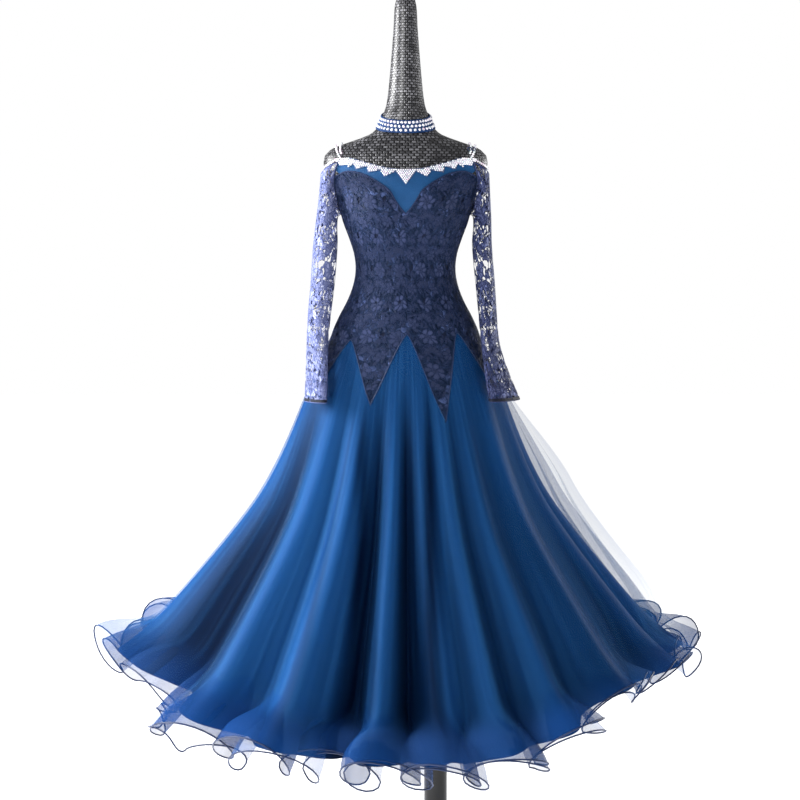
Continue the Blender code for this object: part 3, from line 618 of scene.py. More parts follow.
class Heap:
    """Many small shapes gathered into one mesh."""

    def __init__(self):
        self.points = []
        self.faces = []
        self.cut = []
        self.tints = []

    def add(self, points, faces, cut=None, tint=0.0):
        base = len(self.points)
        self.points += points
        self.faces += [tuple(base + i for i in face) for face in faces]
        self.cut += cut or [(0.0, 0.0)] * len(points)
        self.tints += tint if isinstance(tint, list) else [tint] * len(points)

    def make(self, name, finish, slot=None, smooth=True):
        print(name, len(self.faces), "faces")
        return piece(name, self.points, self.faces, finish, self.cut, {"tint": self.tints},
                     slot, smooth)

    def thread(self, line, radius, sides=6):
        """A round thread along a line of points, closed at both ends."""
        last = len(line) - 1
        points = []
        cut = []
        faces = []
        length = 0.0
        side = None
        for i, at in enumerate(line):
            after = line[min(i + 1, last)]
            ahead = (after - line[max(i - 1, 0)]).normalized()
            if side is None:
                side = ahead.orthogonal().normalized()
            side = (side - ahead * side.dot(ahead)).normalized()
            up = ahead.cross(side)
            for k in range(sides):
                a = 2.0 * math.pi * k / sides
                points.append(at + (side * math.cos(a) + up * math.sin(a)) * radius)
                cut.append((radius * a, length))
                if i < last:
                    low, m = i * sides, (k + 1) % sides
                    faces.append((low + k, low + m, low + sides + m, low + sides + k))
            length += (after - at).length
        faces.append(tuple(reversed(range(sides))))
        faces.append(tuple(last * sides + k for k in range(sides)))
        self.add(points, faces, cut)


def inside(point, outline):
    x, y = point
    odd = False
    for (x0, y0), (x1, y1) in zip(outline, outline[1:] + outline[:1]):
        if (y0 > y) != (y1 > y) and x < x0 + (y - y0) * (x1 - x0) / (y1 - y0):
            odd = not odd
    return odd


def middle_of(outline):
    return tuple(sum(p[k] for p in outline) / len(outline) for k in (0, 1))


def distance_to(point, outline):
    px, py = point
    best = 1e9
    for (x0, y0), (x1, y1) in zip(outline, outline[1:] + outline[:1]):
        dx, dy = x1 - x0, y1 - y0
        t = max(0.0, min(1.0, ((px - x0) * dx + (py - y0) * dy) / (dx * dx + dy * dy + 1e-12)))
        best = min(best, math.hypot(px - x0 - t * dx, py - y0 - t * dy))
    return best


OUTLINE_CLEAR = 0.35    # shares of the spacing that stay clear of an outline and of a gap
GAP_CLEAR = 0.3
GAP_REACH = 0.03        # a gap lies within this distance of its own first point


def panel(name, outline, gaps, spacing, surface, lift, finish, slot=None):
    """A cut panel: its outline and gaps filled with triangles and laid on a surface."""
    points = list(outline)
    loops = [list(range(len(outline)))]
    for gap in gaps:
        loops.append(list(range(len(points), len(points) + len(gap))))
        points += gap
    xs, ys = zip(*outline)
    for i in range(math.ceil(min(xs) / spacing), math.floor(max(xs) / spacing) + 1):
        for j in range(math.ceil(min(ys) / spacing), math.floor(max(ys) / spacing) + 1):
            here = ((i + 0.5 * (j % 2)) * spacing, j * spacing)
            if inside(here, outline) and distance_to(here, outline) > OUTLINE_CLEAR * spacing:
                if all(distance_to(here, g) > GAP_CLEAR * spacing and not inside(here, g)
                       for g in gaps if math.dist(here, g[0]) < GAP_REACH):
                    points.append(here)
    edges = [(a, b) for loop in loops for a, b in zip(loop, loop[1:] + loop[:1])]
    found = delaunay_2d_cdt([Vector(p) for p in points], edges, [], 0, 1e-6)
    flat = [tuple(p) for p in found[0]]
    faces = []
    for face in found[2]:
        middle = middle_of([flat[i] for i in face])
        if inside(middle, outline) and not any(
                math.dist(middle, g[0]) < GAP_REACH and inside(middle, g) for g in gaps):
            faces.append(tuple(face))
    laid = [surface(u, v) + normal_at(surface, u, v) * lift for u, v in flat]
    return piece(name, laid, faces, finish, flat, slot=slot)


# %% [markdown]
# ## The form on its pole
# The form is a limbless torso that runs up into a tall cone instead of a neck. Its cover is
# a coarse flat weave of shiny black yarns, about 9 by 6 mm a stitch. A Brick texture has just
# that layout: each brick is one yarn where it shows, and the mortar is the dark gap where it
# dives under the next. The rings are laid out by their real length round, so the stitches
# keep their size on the cone and slant over the shoulders, as wrapped yarn does.

# %% Woven cover
cover = Finish("Woven cover", Roughness=0.32, Specular_IOR_Level=0.8)
cover_cut = cover.cut(0.0088, 0.0056)


def brick(colours):
    return cover.node("ShaderNodeTexBrick", {"offset": 0.5},
                      {"Vector": cover_cut, "Color1": colours[0], "Color2": colours[1],
                       "Mortar": colours[2], "Scale": 1.0, "Mortar Size": 0.20,
                       "Mortar Smooth": 0.6, "Bias": 0.0, "Brick Width": 1.0,
                       "Row Height": 1.0})


# Each brick is near black or pale grey at random: the pale bricks are painted glints on the shiny
# black yarn.
yarn_glints = brick(((0.030, 0.030, 0.036), (0.30, 0.30, 0.33), (0.002, 0.002, 0.003)))
yarn_height = brick(((1.0, 1.0, 1.0), (0.85, 0.85, 0.85), (0.0, 0.0, 0.0)))
dull = cover.noise(cover_cut, 0.12).between(0.35, 0.7) * 0.45
cover.paint(Base_Color=cover.mix(dull, yarn_glints, (0.012, 0.012, 0.016)))
cover.emboss(yarn_height, 0.0022)

# %% Torso
TORSO_SIDES = 96
RINGS = 70
RING_STEP = 0.0125
heights = sorted({row[0] for row in FORM} | {FORM[0][0] + RING_STEP * k for k in range(RINGS)})
points = []
cut = []
for height in heights:
    ring = [form_point(2.0 * math.pi * (k / TORSO_SIDES - 0.5), height)
            for k in range(TORSO_SIDES + 1)]
    round_it = sum((b - a).length for a, b in zip(ring, ring[1:]))
    points += ring
    cut += [((k / TORSO_SIDES - 0.5) * round_it, height) for k in range(TORSO_SIDES + 1)]
wide = TORSO_SIDES + 1
faces = quads(len(heights) - 1, TORSO_SIDES)
faces.append(tuple(reversed(range(TORSO_SIDES))))
faces.append(tuple((len(heights) - 1) * wide + k for k in range(TORSO_SIDES)))
torso = piece("Form_torso_cover", points, faces, cover, cut, slot="form_cloth")
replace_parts(torso, "form_torso")
print("The form's cover has", len(faces), "faces")

# %% [markdown]
# ## Pole, flange and base
# These are turned parts, so one profile goes round an axis. Black lacquer is nearly a mirror:
# its looks come from low roughness, with faint streaks down the pole that are rougher where it
# was wiped and a little lighter in colour, which is painted sheen.

# %% Turned stand
lacquer = Finish("Black lacquer", Specular_IOR_Level=0.3, Coat_Weight=0.2, Coat_Roughness=0.1)
wipes_and_painted_sheen = lacquer.noise(lacquer.cut(0.004, 0.25), 1.0, 3.0)
# The streaks are rougher where it was wiped, and lighter in colour as painted sheen.
lacquer.paint(
    Base_Color=lacquer.mix(wipes_and_painted_sheen, (0.002, 0.002, 0.003), (0.010, 0.010, 0.012)),
    Roughness=wipes_and_painted_sheen * 0.18 + 0.14)
board = Finish("Black board", Roughness=0.6)
board_grain = board.noise(board.cut(0.003, 0.003))
board.paint(Base_Color=board.mix(board_grain, (0.012, 0.012, 0.012), (0.04, 0.038, 0.036)))
board.emboss(board_grain, 0.0004)


POLE_X = 0.067
POLE_Y = 0.02


def turned(name, profile, finish, node, slot, sides=72):
    """A profile of (radius, height) turned about the pole's axis."""
    points = []
    cut = []
    length = 0.0
    for i, (radius, height) in enumerate(profile):
        if i:
            length += math.dist(profile[i - 1], (radius, height))
        for k in range(sides + 1):
            a = 2.0 * math.pi * k / sides
            points.append(Vector((POLE_X + radius * math.cos(a), POLE_Y + radius * math.sin(a),
                                  height)))
            cut.append((0.03 * a, length))
    made = piece(name, points, quads(len(profile) - 1, sides), finish, cut, slot=slot)
    made.data.set_sharp_from_angle(angle=math.radians(35))
    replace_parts(made, node)


low, high = (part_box("form_flange")[k].z for k in (0, 1))
turned("Form_flange_board", ((0.0, low), (0.053, low), (0.055, low + 0.002),
                             (0.055, high - 0.002), (0.053, high), (0.0, high)),
       board, "form_flange", "form_board")
low, high = (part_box("form_pole")[k].z for k in (0, 1))
turned("Form_pole_tube", ((0.0, low), (0.0245, low), (0.0255, low + 0.001), (0.0255, 0.30),
                          (0.0252, 0.301), (0.0252, 0.303), (0.0255, 0.304),
                          (0.0255, high - 0.001), (0.0245, high), (0.0, high)),
       lacquer, "form_pole", "pole")
turned("Form_base_disc", ((0.0, 0.0), (0.189, 0.0), (0.190, 0.001), (0.190, 0.008),
                          (0.1895, 0.0095), (0.186, 0.0118), (0.120, 0.0135), (0.060, 0.0152),
                          (0.041, 0.0165), (0.036, 0.0185), (0.0325, 0.0285), (0.031, 0.039),
                          (0.030, 0.040), (0.0, 0.040)),
       lacquer, "form_base", "pole")

# %% [markdown]
# ## The cuts of the body panels
# A lace panel ends below in the arches that the godets rise into, with a point of lace between
# each two. Its cut is one closed outline: along the arches, up the side seam, round the
# armhole, over the neck and down again. The lining has the same cut with a higher neck.

# %% Outlines of front and back
ARCH_POWER = 0.72
ARCH_PARTS = 16
ARCH_SPACING = 1.6      # points lie closer together towards the arch's top
OUTLINE_STEP = 0.010
SEAM_GAP = 0.0003
UNDERARM = 1.395


def arch_edge(godet, seam, height):
    """Angle of a godet's edge at a height, in radians."""
    middle, top = GODETS[godet]
    turn, point = SEAMS[seam]
    away = (turn - middle + 180.0) % 360.0 - 180.0
    share = 0.0
    if height < top:
        share = min(1.0, ((top - height) / (top - point)) ** ARCH_POWER)
    return math.radians(middle + away * share)


def lower_edge(godets):
    """The arches along the bottom of a panel, from its left seam to its right seam."""
    edge = []
    shift = SEAM_GAP / FLAT_RADIUS
    for place, (godet, left, right) in enumerate(godets):
        top = GODETS[godet][1]
        if place > 0:
            for k in range(ARCH_PARTS):
                drop = (top - SEAMS[left][1]) * (1.0 - k / ARCH_PARTS) ** ARCH_SPACING
                edge.append((arch_edge(godet, left, top - drop) - shift, top - drop + SEAM_GAP))
        edge.append((math.radians(GODETS[godet][0]), top + 0.001))
        if place < len(godets) - 1:
            for k in range(1, ARCH_PARTS):
                drop = (top - SEAMS[right][1]) * (k / ARCH_PARTS) ** ARCH_SPACING
                edge.append((arch_edge(godet, right, top - drop) + shift, top - drop + SEAM_GAP))
    return edge


def smooth(line, parts=4):
    """More points on a soft curve through a line's points."""
    out = []
    for i in range(len(line) - 1):
        a, b, c, d = (line[min(max(i + k, 0), len(line) - 1)] for k in (-1, 0, 1, 2))
        for p in range(parts):
            t = p / parts
            out.append(tuple(
                0.5 * (2 * b[m] + (c[m] - a[m]) * t + (2 * a[m] - 5 * b[m] + 4 * c[m] - d[m]) * t**2
                       + (3 * b[m] - a[m] - 3 * c[m] + d[m]) * t**3) for m in range(len(b))))
    return out + [tuple(line[-1])]


def rounded(points, step):
    """A closed outline with points added so that no side is longer than the step."""
    out = []
    for (x0, y0), (x1, y1) in zip(points, points[1:] + points[:1]):
        parts = max(1, math.ceil(math.hypot(x1 - x0, y1 - y0) / step))
        out += [(x0 + (x1 - x0) * k / parts, y0 + (y1 - y0) * k / parts) for k in range(parts)]
    return out


def angle_at(distance, height):
    return math.asin(min(0.999, distance / read_table(FORM, height, 1)))


def body_outline(neck, back):
    """The cut of a front or back panel in flat metres, anticlockwise."""
    seam = SEAM_GAP / 2 / FLAT_RADIUS
    middle = math.pi if back else 0.0
    left, right = middle - math.pi / 2 + seam, middle + math.pi / 2 - seam
    godets = ((5, 4, 5), (6, 5, 6), (7, 6, 7), (0, 7, 0), (1, 0, 1)) if back else (
        (1, 0, 1), (2, 1, 2), (3, 2, 3), (4, 3, 4), (5, 4, 5))
    edge = []
    for angle, height in lower_edge(godets):
        if back and angle < math.pi / 4:
            angle += 2 * math.pi
        edge.append((min(max(angle, left), right), height))
    arm = [row for row in smooth(ARMHOLE, 3) if row[0] < neck[-1][1] - 0.004]
    curve = smooth(neck, 4)
    edge += [(middle + math.radians(degrees), height) for height, degrees in arm]
    edge += [(middle + angle_at(d, h), h) for d, h in reversed(curve)]
    edge += [(middle - angle_at(d, h), h) for d, h in curve[1:]]
    edge += [(middle - math.radians(degrees), height) for height, degrees in reversed(arm)]
    return rounded([(min(max(a, left), right) * FLAT_RADIUS, h) for a, h in edge], OUTLINE_STEP)


FRONT_LACE = body_outline(SWEETHEART, False)
BACK_LINING = body_outline(BACK_NECK, True)
BACK_LACE_CUT = body_outline(BACK_LACE, True)
print("Front panel's outline has", len(FRONT_LACE), "points")

# %% [markdown]
# ## Lining and yoke
# Under the lace lies a plain dark knit, and above the lace's heart-shaped edge the same place
# is a smooth mid blue, which is the yoke. On the real dress it is one stretch fabric; under the
# lace it is made dark navy, which is painted shade from the lace over it. A knit shows as fine
# columns of stitches, so two Wave textures cross in the bump.

# %% Knit finishes and lining
def knit(name, dark, light, stitch):
    finish = Finish(name, Roughness=0.55, Specular_IOR_Level=0.25)
    columns = finish.waves(finish.cut(stitch, stitch), "X")
    rows = finish.waves(finish.cut(stitch * 1.4, stitch * 1.4), "Y")
    cloudy = finish.noise(finish.cut(0.03, 0.03), 1.0, 3.0)
    finish.paint(Base_Color=finish.mix(columns * 0.35 + cloudy * 0.6, dark, light))
    finish.emboss(columns * rows, 0.0003)
    return finish


# The lining's dark navy is painted shade under the lace; the yoke keeps the knit's own blue.
shaded_lining_knit = knit("Navy knit", (0.004, 0.009, 0.032), (0.010, 0.022, 0.070), 0.0012)
blue_knit = knit("Blue knit", (0.005, 0.056, 0.180), (0.018, 0.125, 0.345), 0.0012)

MIDDLE = WALL / 2       # a piece in the looks lies at the middle of its solid's wall
TUCK = 0.0025           # how far the yoke goes down behind the lace's edge

lining_front = panel("Lining_front", FRONT_LACE, [], 0.008, on_dress, LAYER_1 + MIDDLE,
                     shaded_lining_knit, "lining")
lining_back = panel("Lining_back", BACK_LINING, [], 0.008, on_dress, LAYER_1 + MIDDLE,
                    shaded_lining_knit, "lining")
side_of_yoke = [(math.radians(a), h) for h, a in reversed(smooth(ARMHOLE, 3)) if 1.481 < h < 1.503]
half = [(angle_at(d, h), h) for d, h in smooth(FRONT_NECK, 4)] + side_of_yoke
low_half = [(angle_at(d, h - TUCK), h - TUCK) for d, h in smooth(SWEETHEART, 4)]
yoke_cut = [(-a, h) for a, h in reversed(low_half)] + low_half[1:]
yoke_cut += list(reversed(half)) + [(-a, h) for a, h in half[1:]]
yoke_cut = [(a * FLAT_RADIUS, h) for a, h in yoke_cut]
yoke = panel("Yoke", yoke_cut, [], 0.006, on_dress, LAYER_1 + 0.0009, blue_knit, "lining")
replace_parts(lining_front, "lining_front")
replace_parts(yoke, "lining_front")
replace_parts(lining_back, "lining_back")

# %% [markdown]
# ## Lace
# Floral lace is a fine net with flowers, fans, leaves and scrolls worked into it, each ringed
# by a heavier cord, in a repeat of 58 by 70 mm whose odd rows shift by half. The net is
# a material: Voronoi cells give its meshes, which are cut out by Alpha on the sleeves and
# only shaded on the lined body. The flowers and cords stand up from the net and catch the
# light, so they are real, very low shapes: a petal is a fan of faces with a raised middle.

# %% Lace finishes
def lace_ground(name, outline, petal_low, petal_high, cell, open_share):
    """Lace seen close: petals of uneven tone ringed by cord, and open meshes between them."""
    finish = Finish(name, Roughness=0.5, Specular_IOR_Level=0.12)
    drift = finish.node("ShaderNodeTexNoise", {}, {"Vector": finish.cut(0.018, 0.020),
                                                   "Scale": 1.0, "Detail": 2.0}, 1)
    place = finish.node("ShaderNodeVectorMath", {"operation": "MULTIPLY_ADD"},
                        [drift, (1.8, 1.8, 0.0), finish.cut(cell, cell * 1.1)])
    rim = finish.node("ShaderNodeTexVoronoi", {"feature": "DISTANCE_TO_EDGE"},
                      {"Vector": place, "Scale": 1.0})
    tone = finish.node("ShaderNodeTexVoronoi", {}, {"Vector": place, "Scale": 1.0}, 1)
    fine = finish.node("ShaderNodeTexVoronoi", {"feature": "DISTANCE_TO_EDGE"},
                       {"Vector": place, "Scale": 3.1})
    thread = 1 - fine.between(0.04, 0.16)
    cord = 1 - rim.between(0.035, 0.10)
    bunch = finish.noise(finish.cut(0.036, 0.044), 1.0, 2.0).between(0.46, 0.62)
    filled = tone.between(0.30, 0.75) * (bunch * 0.8 + 0.2)
    petal = finish.mix(filled * 0.85 + thread * 0.15, petal_low, petal_high)
    finish.paint(Base_Color=finish.mix(cord, petal, outline))
    finish.emboss(rim.between(0.0, 0.30) + cord * 0.6 + thread * 0.15, 0.0024)
    if open_share:
        solid = tone.between(open_share - 0.02, open_share + 0.02)
        seen = (cord * 1.2 + solid + thread * 0.08).between(0.0, 1.0)
        finish.paint(Alpha=seen * 0.97 + 0.03)
    return finish


body_net = lace_ground("Lace net on the body", (0.012, 0.026, 0.072), (0.002, 0.011, 0.038),
                       (0.072, 0.110, 0.270), 0.0105, 0.0)
# Two copies of the sleeve net: a pale one with painted light and a dark one with painted shade.
lit_net = lace_ground("Lace net in the light", (0.190, 0.230, 0.500), (0.220, 0.260, 0.540),
                       (0.640, 0.690, 0.960), 0.0130, 0.68)
shaded_net = lace_ground("Lace net in the shade", (0.050, 0.068, 0.190), (0.030, 0.045, 0.140),
                         (0.260, 0.310, 0.620), 0.0130, 0.68)


def worked_finish(name, dark, light):
    """Petals: satin stitches side by side, darker at the rim."""
    finish = Finish(name, Roughness=0.45, Specular_IOR_Level=0.2)
    stitches = finish.waves(finish.cut(0.0008, 0.0008), "DIAGONAL")
    finish.paint(Base_Color=finish.mix(finish.value("tint") * 0.75 + stitches * 0.25, dark, light))
    finish.emboss(stitches, 0.0004)
    return finish


body_petals = worked_finish("Lace petals on the body", (0.002, 0.009, 0.030),
                            (0.095, 0.130, 0.315))
# Sleeve petals in a copy with painted light and one with painted shade.
lit_petals = worked_finish("Lace petals in the light", (0.130, 0.160, 0.380),
                            (0.560, 0.610, 0.930))
shaded_petals = worked_finish("Lace petals in the shade", (0.020, 0.030, 0.100),
                              (0.300, 0.350, 0.680))


def cord_look(name, dark, light):
    finish = Finish(name, Roughness=0.5, Specular_IOR_Level=0.12)
    twist = finish.waves(finish.cut(0.0012, 0.0012), "DIAGONAL")
    finish.paint(Base_Color=finish.mix(twist, dark, light))
    return finish


body_cords = cord_look("Lace cord on the body", (0.010, 0.020, 0.056), (0.042, 0.060, 0.150))
# Sleeve cords in a copy with painted light and one with painted shade.
lit_cords = cord_look("Lace cord in the light", (0.080, 0.100, 0.260), (0.200, 0.240, 0.500))
shaded_cords = cord_look("Lace cord in the shade", (0.014, 0.020, 0.065), (0.070, 0.090, 0.230))
# The left sleeve wears the copies with painted light, the right one those with painted shade.
SLEEVE_LOOKS = {"left": (lit_net, lit_petals, lit_cords),
                "right": (shaded_net, shaded_petals, shaded_cords)}

# %% One repeat of the lace
LACE_WIDE = 0.058
LACE_HIGH = 0.070
SMALL_GAPS = (          # meshes left open on the sleeves alone, in the same columns
    (0.50, 0.46, 0.0032, 0.0021, 20.0), (0.05, 0.52, 0.0030, 0.0020, 75.0),
    (0.95, 0.86, 0.0034, 0.0021, -30.0), (0.45, 0.10, 0.0026, 0.0019, 10.0),
    (0.60, 0.84, 0.0028, 0.0020, 50.0), (0.06, 0.16, 0.0030, 0.0022, -70.0),
)


def petal(root, long, wide, turn, sides=9):
    """Outline of a petal that grows from its root in a direction."""
    lean = math.radians(turn)
    out = []
    for k in range(sides):
        a = 2.0 * math.pi * k / sides
        x = 0.5 * long * (1.0 - math.cos(a))
        y = 0.5 * wide * math.sin(a) * (0.45 + 0.55 * x / long)
        out.append((root[0] + x * math.cos(lean) - y * math.sin(lean),
                    root[1] + x * math.sin(lean) + y * math.cos(lean)))
    return out


def arc(cx, cy, radius, start, end, steps=9, grow=0.0):
    out = []
    for k in range(steps + 1):
        a = math.radians(start + (end - start) * k / steps)
        r = radius * (1.0 + grow * k / steps)
        out.append((cx + r * math.cos(a), cy + r * math.sin(a)))
    return out


petals = []          # outline and how bright its stitches are
cords = []


def flower(x, y, count, reach, long, wide, start, bright, sides=9, round_it=360.0):
    """Petals side by side about a middle, all the way round or part of it."""
    for k in range(count):
        turn = start + round_it * k / count
        a = math.radians(turn)
        root = (x + reach * math.cos(a), y + reach * math.sin(a))
        petals.append((petal(root, long, wide, turn, sides), bright))


flower(0.0420, 0.0170, 7, 0.0045, 0.0118, 0.0118, 14.0, 0.95)     # the large flower
flower(0.0420, 0.0170, 5, 0.0010, 0.0054, 0.0058, 30.0, 0.60, 7)
flower(0.0125, 0.0480, 6, 0.0026, 0.0090, 0.0094, 40.0, 0.60)     # the small flower
petals.append((arc(0.0125, 0.0480, 0.0020, 0.0, 315.0, 7), 0.8))
flower(0.0400, 0.0515, 6, 0.0050, 0.0112, 0.0082, 15.0, 0.45, 8, 180.0)     # the fan
cords.append(arc(0.0400, 0.0515, 0.0044, 0.0, 180.0, 8))
cords.append(arc(0.0400, 0.0515, 0.0180, 5.0, 175.0, 14))
for x, y, long, wide, turn in (                             # leaves
        (0.0035, 0.0060, 0.0120, 0.0066, 62.0), (0.0230, 0.0050, 0.0110, 0.0060, 118.0),
        (0.0030, 0.0330, 0.0100, 0.0060, -58.0), (0.0235, 0.0310, 0.0100, 0.0058, 140.0),
        (0.0265, 0.0370, 0.0105, 0.0058, 66.0), (0.0520, 0.0360, 0.0110, 0.0060, 84.0),
        (0.0060, 0.0620, 0.0110, 0.0060, 18.0), (0.0240, 0.0620, 0.0090, 0.0052, 150.0),
        (0.0140, 0.0020, 0.0090, 0.0050, 92.0), (0.0320, 0.0350, 0.0080, 0.0048, 20.0)):
    petals.append((petal((x, y), long, wide, turn, 8), 0.30))
for x, y, radius, start, end, grow in (                     # scrolls
        (0.0300, 0.0420, 0.0080, -70.0, 150.0, 0.3), (0.0520, 0.0440, 0.0065, 210.0, 30.0, 0.4),
        (0.0060, 0.0170, 0.0085, -80.0, 110.0, -0.2), (0.0230, 0.0120, 0.0070, 90.0, 300.0, 0.2),
        (0.0500, 0.0640, 0.0060, 180.0, 0.0, 0.4), (0.0150, 0.0640, 0.0100, 200.0, 330.0, 0.1)):
    cords.append(arc(x, y, radius, start, end, 8, grow))
    cords.append(arc(x, y, radius * 0.76, start, end, 8, grow))
print("One repeat has", len(petals), "petals and leaves and", len(cords), "scrolls")


def repeats(outline):
    """Corners of the lace repeats that may touch an outline."""
    xs, ys = zip(*outline)
    for row in range(math.floor(min(ys) / LACE_HIGH) - 1, math.ceil(max(ys) / LACE_HIGH) + 1):
        first = math.floor(min(xs) / LACE_WIDE) - 1
        for column in range(first, math.ceil(max(xs) / LACE_WIDE) + 1):
            yield (column + 0.5 * (row % 2)) * LACE_WIDE, row * LACE_HIGH


def lace_gaps(outline, margin, kinds):
    """The gaps of each repeat that lie well inside an outline."""
    gaps = []
    for x0, y0 in repeats(outline):
        for across, up, long, half, turn in kinds:
            lean = math.radians(turn)
            gap = []
            for k in range(8):
                a = math.pi * k / 4
                x, y = long * math.cos(a), half * math.sin(a)
                gap.append((x0 + across * LACE_WIDE + x * math.cos(lean) - y * math.sin(lean),
                            y0 + up * LACE_HIGH + x * math.sin(lean) + y * math.cos(lean)))
            if all(inside(p, outline) and distance_to(p, outline) > margin for p in gap):
                gaps.append(gap)
    return gaps


def lay(surface, spot):
    """A flat point's place on a surface and the way out of the cloth there."""
    return surface(*spot), normal_at(surface, *spot)


def raised_cord(heap, places, width, height, lift, closed=False):
    """A low ridge along places that are already laid on the surface."""
    points = []
    cut = []
    count = len(places)
    for i, (at, out) in enumerate(places):
        before = places[i - 1][0] if closed or i else at
        after = places[(i + 1) % count][0] if closed or i < count - 1 else at
        side = out.cross(after - before).normalized() * (0.5 * width)
        points += [at + out * lift - side, at + out * (lift + height), at + out * lift + side]
        cut += [(-0.5 * width, i * 0.002), (0.0, i * 0.002), (0.5 * width, i * 0.002)]
    faces = []
    for i in range(count if closed else count - 1):
        j = (i + 1) % count
        faces += [(3 * i + k, 3 * j + k, 3 * j + k + 1, 3 * i + k + 1) for k in (0, 1)]
    heap.add(points, faces, cut)


lace_chance = random.Random(11)
DRIFT = 0.0026
CLEAR_OF_GAP = 0.0055   # no petal's middle lies nearer to a gap's
PETAL_CROWN = 0.0009    # how high a petal's middle stands


def drifted(x, y):
    """Hand-guided lace never repeats exactly, so each place is pushed a little off its own."""
    return (x + DRIFT * math.sin(190.0 * y + 1.4 * math.sin(31.0 * x)),
            y + DRIFT * math.sin(170.0 * x + 1.2 * math.sin(27.0 * y) + 2.0))


def work_lace(name, outline, gaps, surface, lift, petal_look, cord_finish, least=0.0, way=1.0):
    """Flowers, leaves and cords over a panel, left out where they would cross its edge."""
    flowers = Heap()
    lines = Heap()

    def place(spot):
        at, out = lay(surface, spot)
        return at, out * way

    hearts = [middle_of(gap) for gap in gaps]
    for x0, y0 in repeats(outline):
        mirrored = round(y0 / LACE_HIGH) % 2 == 1
        mood = 0.45 + 0.55 * lace_chance.random()

        def moved(line):
            return [drifted(x0 + (LACE_WIDE - x if mirrored else x), y0 + y) for x, y in line]

        for shape, stitched in petals:
            spots = moved(shape)
            middle = middle_of(spots)
            if stitched < least or not all(inside(p, outline) for p in spots):
                continue
            if any(math.dist(middle, heart) < CLEAR_OF_GAP for heart in hearts):
                continue
            rim = [place(spot) for spot in spots]
            bright = stitched * mood * (0.6 + 0.4 * lace_chance.random())
            at, out = place(middle)
            points = [p + n * lift for p, n in rim] + [at + out * (lift + PETAL_CROWN)]
            flowers.add(points, [(k, (k + 1) % len(rim), len(rim)) for k in range(len(rim))],
                        spots + [middle], [0.6 * bright] * len(rim) + [bright])
            raised_cord(lines, rim, 0.0012, 0.0005, lift + 0.0001, True)
        for spots in map(moved, cords):
            if all(inside(p, outline) for p in spots):
                raised_cord(lines, [place(spot) for spot in spots], 0.0014, 0.0006, lift)
    raised_cord(lines, [place(spot) for spot in outline], 0.0026, 0.0009, lift, True)
    return (flowers.make(name + "_flowers", petal_look, "lace"),
            lines.make(name + "_cords", cord_finish, "lace"))


# %% Lace on the body
lace_sheets = []
for word, outline in (("front", FRONT_LACE), ("back", BACK_LACE_CUT)):
    gaps = lace_gaps(outline, 0.010, LACE_GAPS[:1])
    sheet = panel(f"Lace_{word}", outline, gaps, 0.008, on_dress, LAYER_2 + 0.0004, body_net,
                  "lace")
    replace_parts(sheet, f"lace_{word}")
    worked = work_lace(f"Lace_{word}", outline, gaps, on_dress, LAYER_2 + 0.0006, body_petals,
                       body_cords)
    lace_sheets.append((sheet, worked))

# %% [markdown]
# ## Sleeves
# The sleeves are the same lace with no lining, so light comes through, and they hang flat
# beside the hips because no arms fill them. Each is two halves sewn down the inner and outer
# lines. Cuffs end in a narrow dark band.

# %% Sleeve surface
SLEEVE_TOP_INNER = 1.500
SLEEVE_TOP_OUTER = 1.476
SLEEVE_WIDE = 0.120
SLEEVE_CLEAR = 0.0012   # between a sleeve and the body at the armhole


def sleeve_frame(table, side, height):
    out, forward, thick, deep, turn = (read_table(table, height, c) for c in range(1, 6))
    lean = math.radians(turn)
    centre = Vector((side * out, -forward, height))
    away = Vector((side * math.cos(lean), -math.sin(lean), 0.0))
    ahead = Vector((-side * math.sin(lean), -math.cos(lean), 0.0))
    return centre, away * thick, ahead * deep


def armhole_share(height):
    """Where a sleeve half starts, from 0 at the underarm to 1/2 at the shoulder."""
    if height <= UNDERARM:
        return 0.0
    return 0.5 * ((height - UNDERARM) / (SLEEVE_TOP_INNER - UNDERARM)) ** 0.8


def sleeve_point(table, side, half, share, height):
    """A point on a sleeve half: share 0 at its inner line, 1 at its outer line."""
    centre, away, ahead = sleeve_frame(table, side, height)

    def hanging(share):
        angle = math.pi * (share - 0.5)
        return centre + away * math.sin(angle) + ahead * (half * math.cos(angle))

    point = hanging(share)
    start = armhole_share(height)
    if start > 0.0:
        turn = math.radians(read_table(ARMHOLE, height, 1))
        around = side * (turn if half > 0 else math.pi - turn)
        target = form_point(around, height)
        target += normal_at(form_point, around, height) * (LAYER_2 + WALL + SLEEVE_CLEAR)
        drawn_in = max(0.0, 1.0 - (share - start) / (1.0 - start)) ** 2
        point += (target - hanging(start)) * drawn_in
    return point


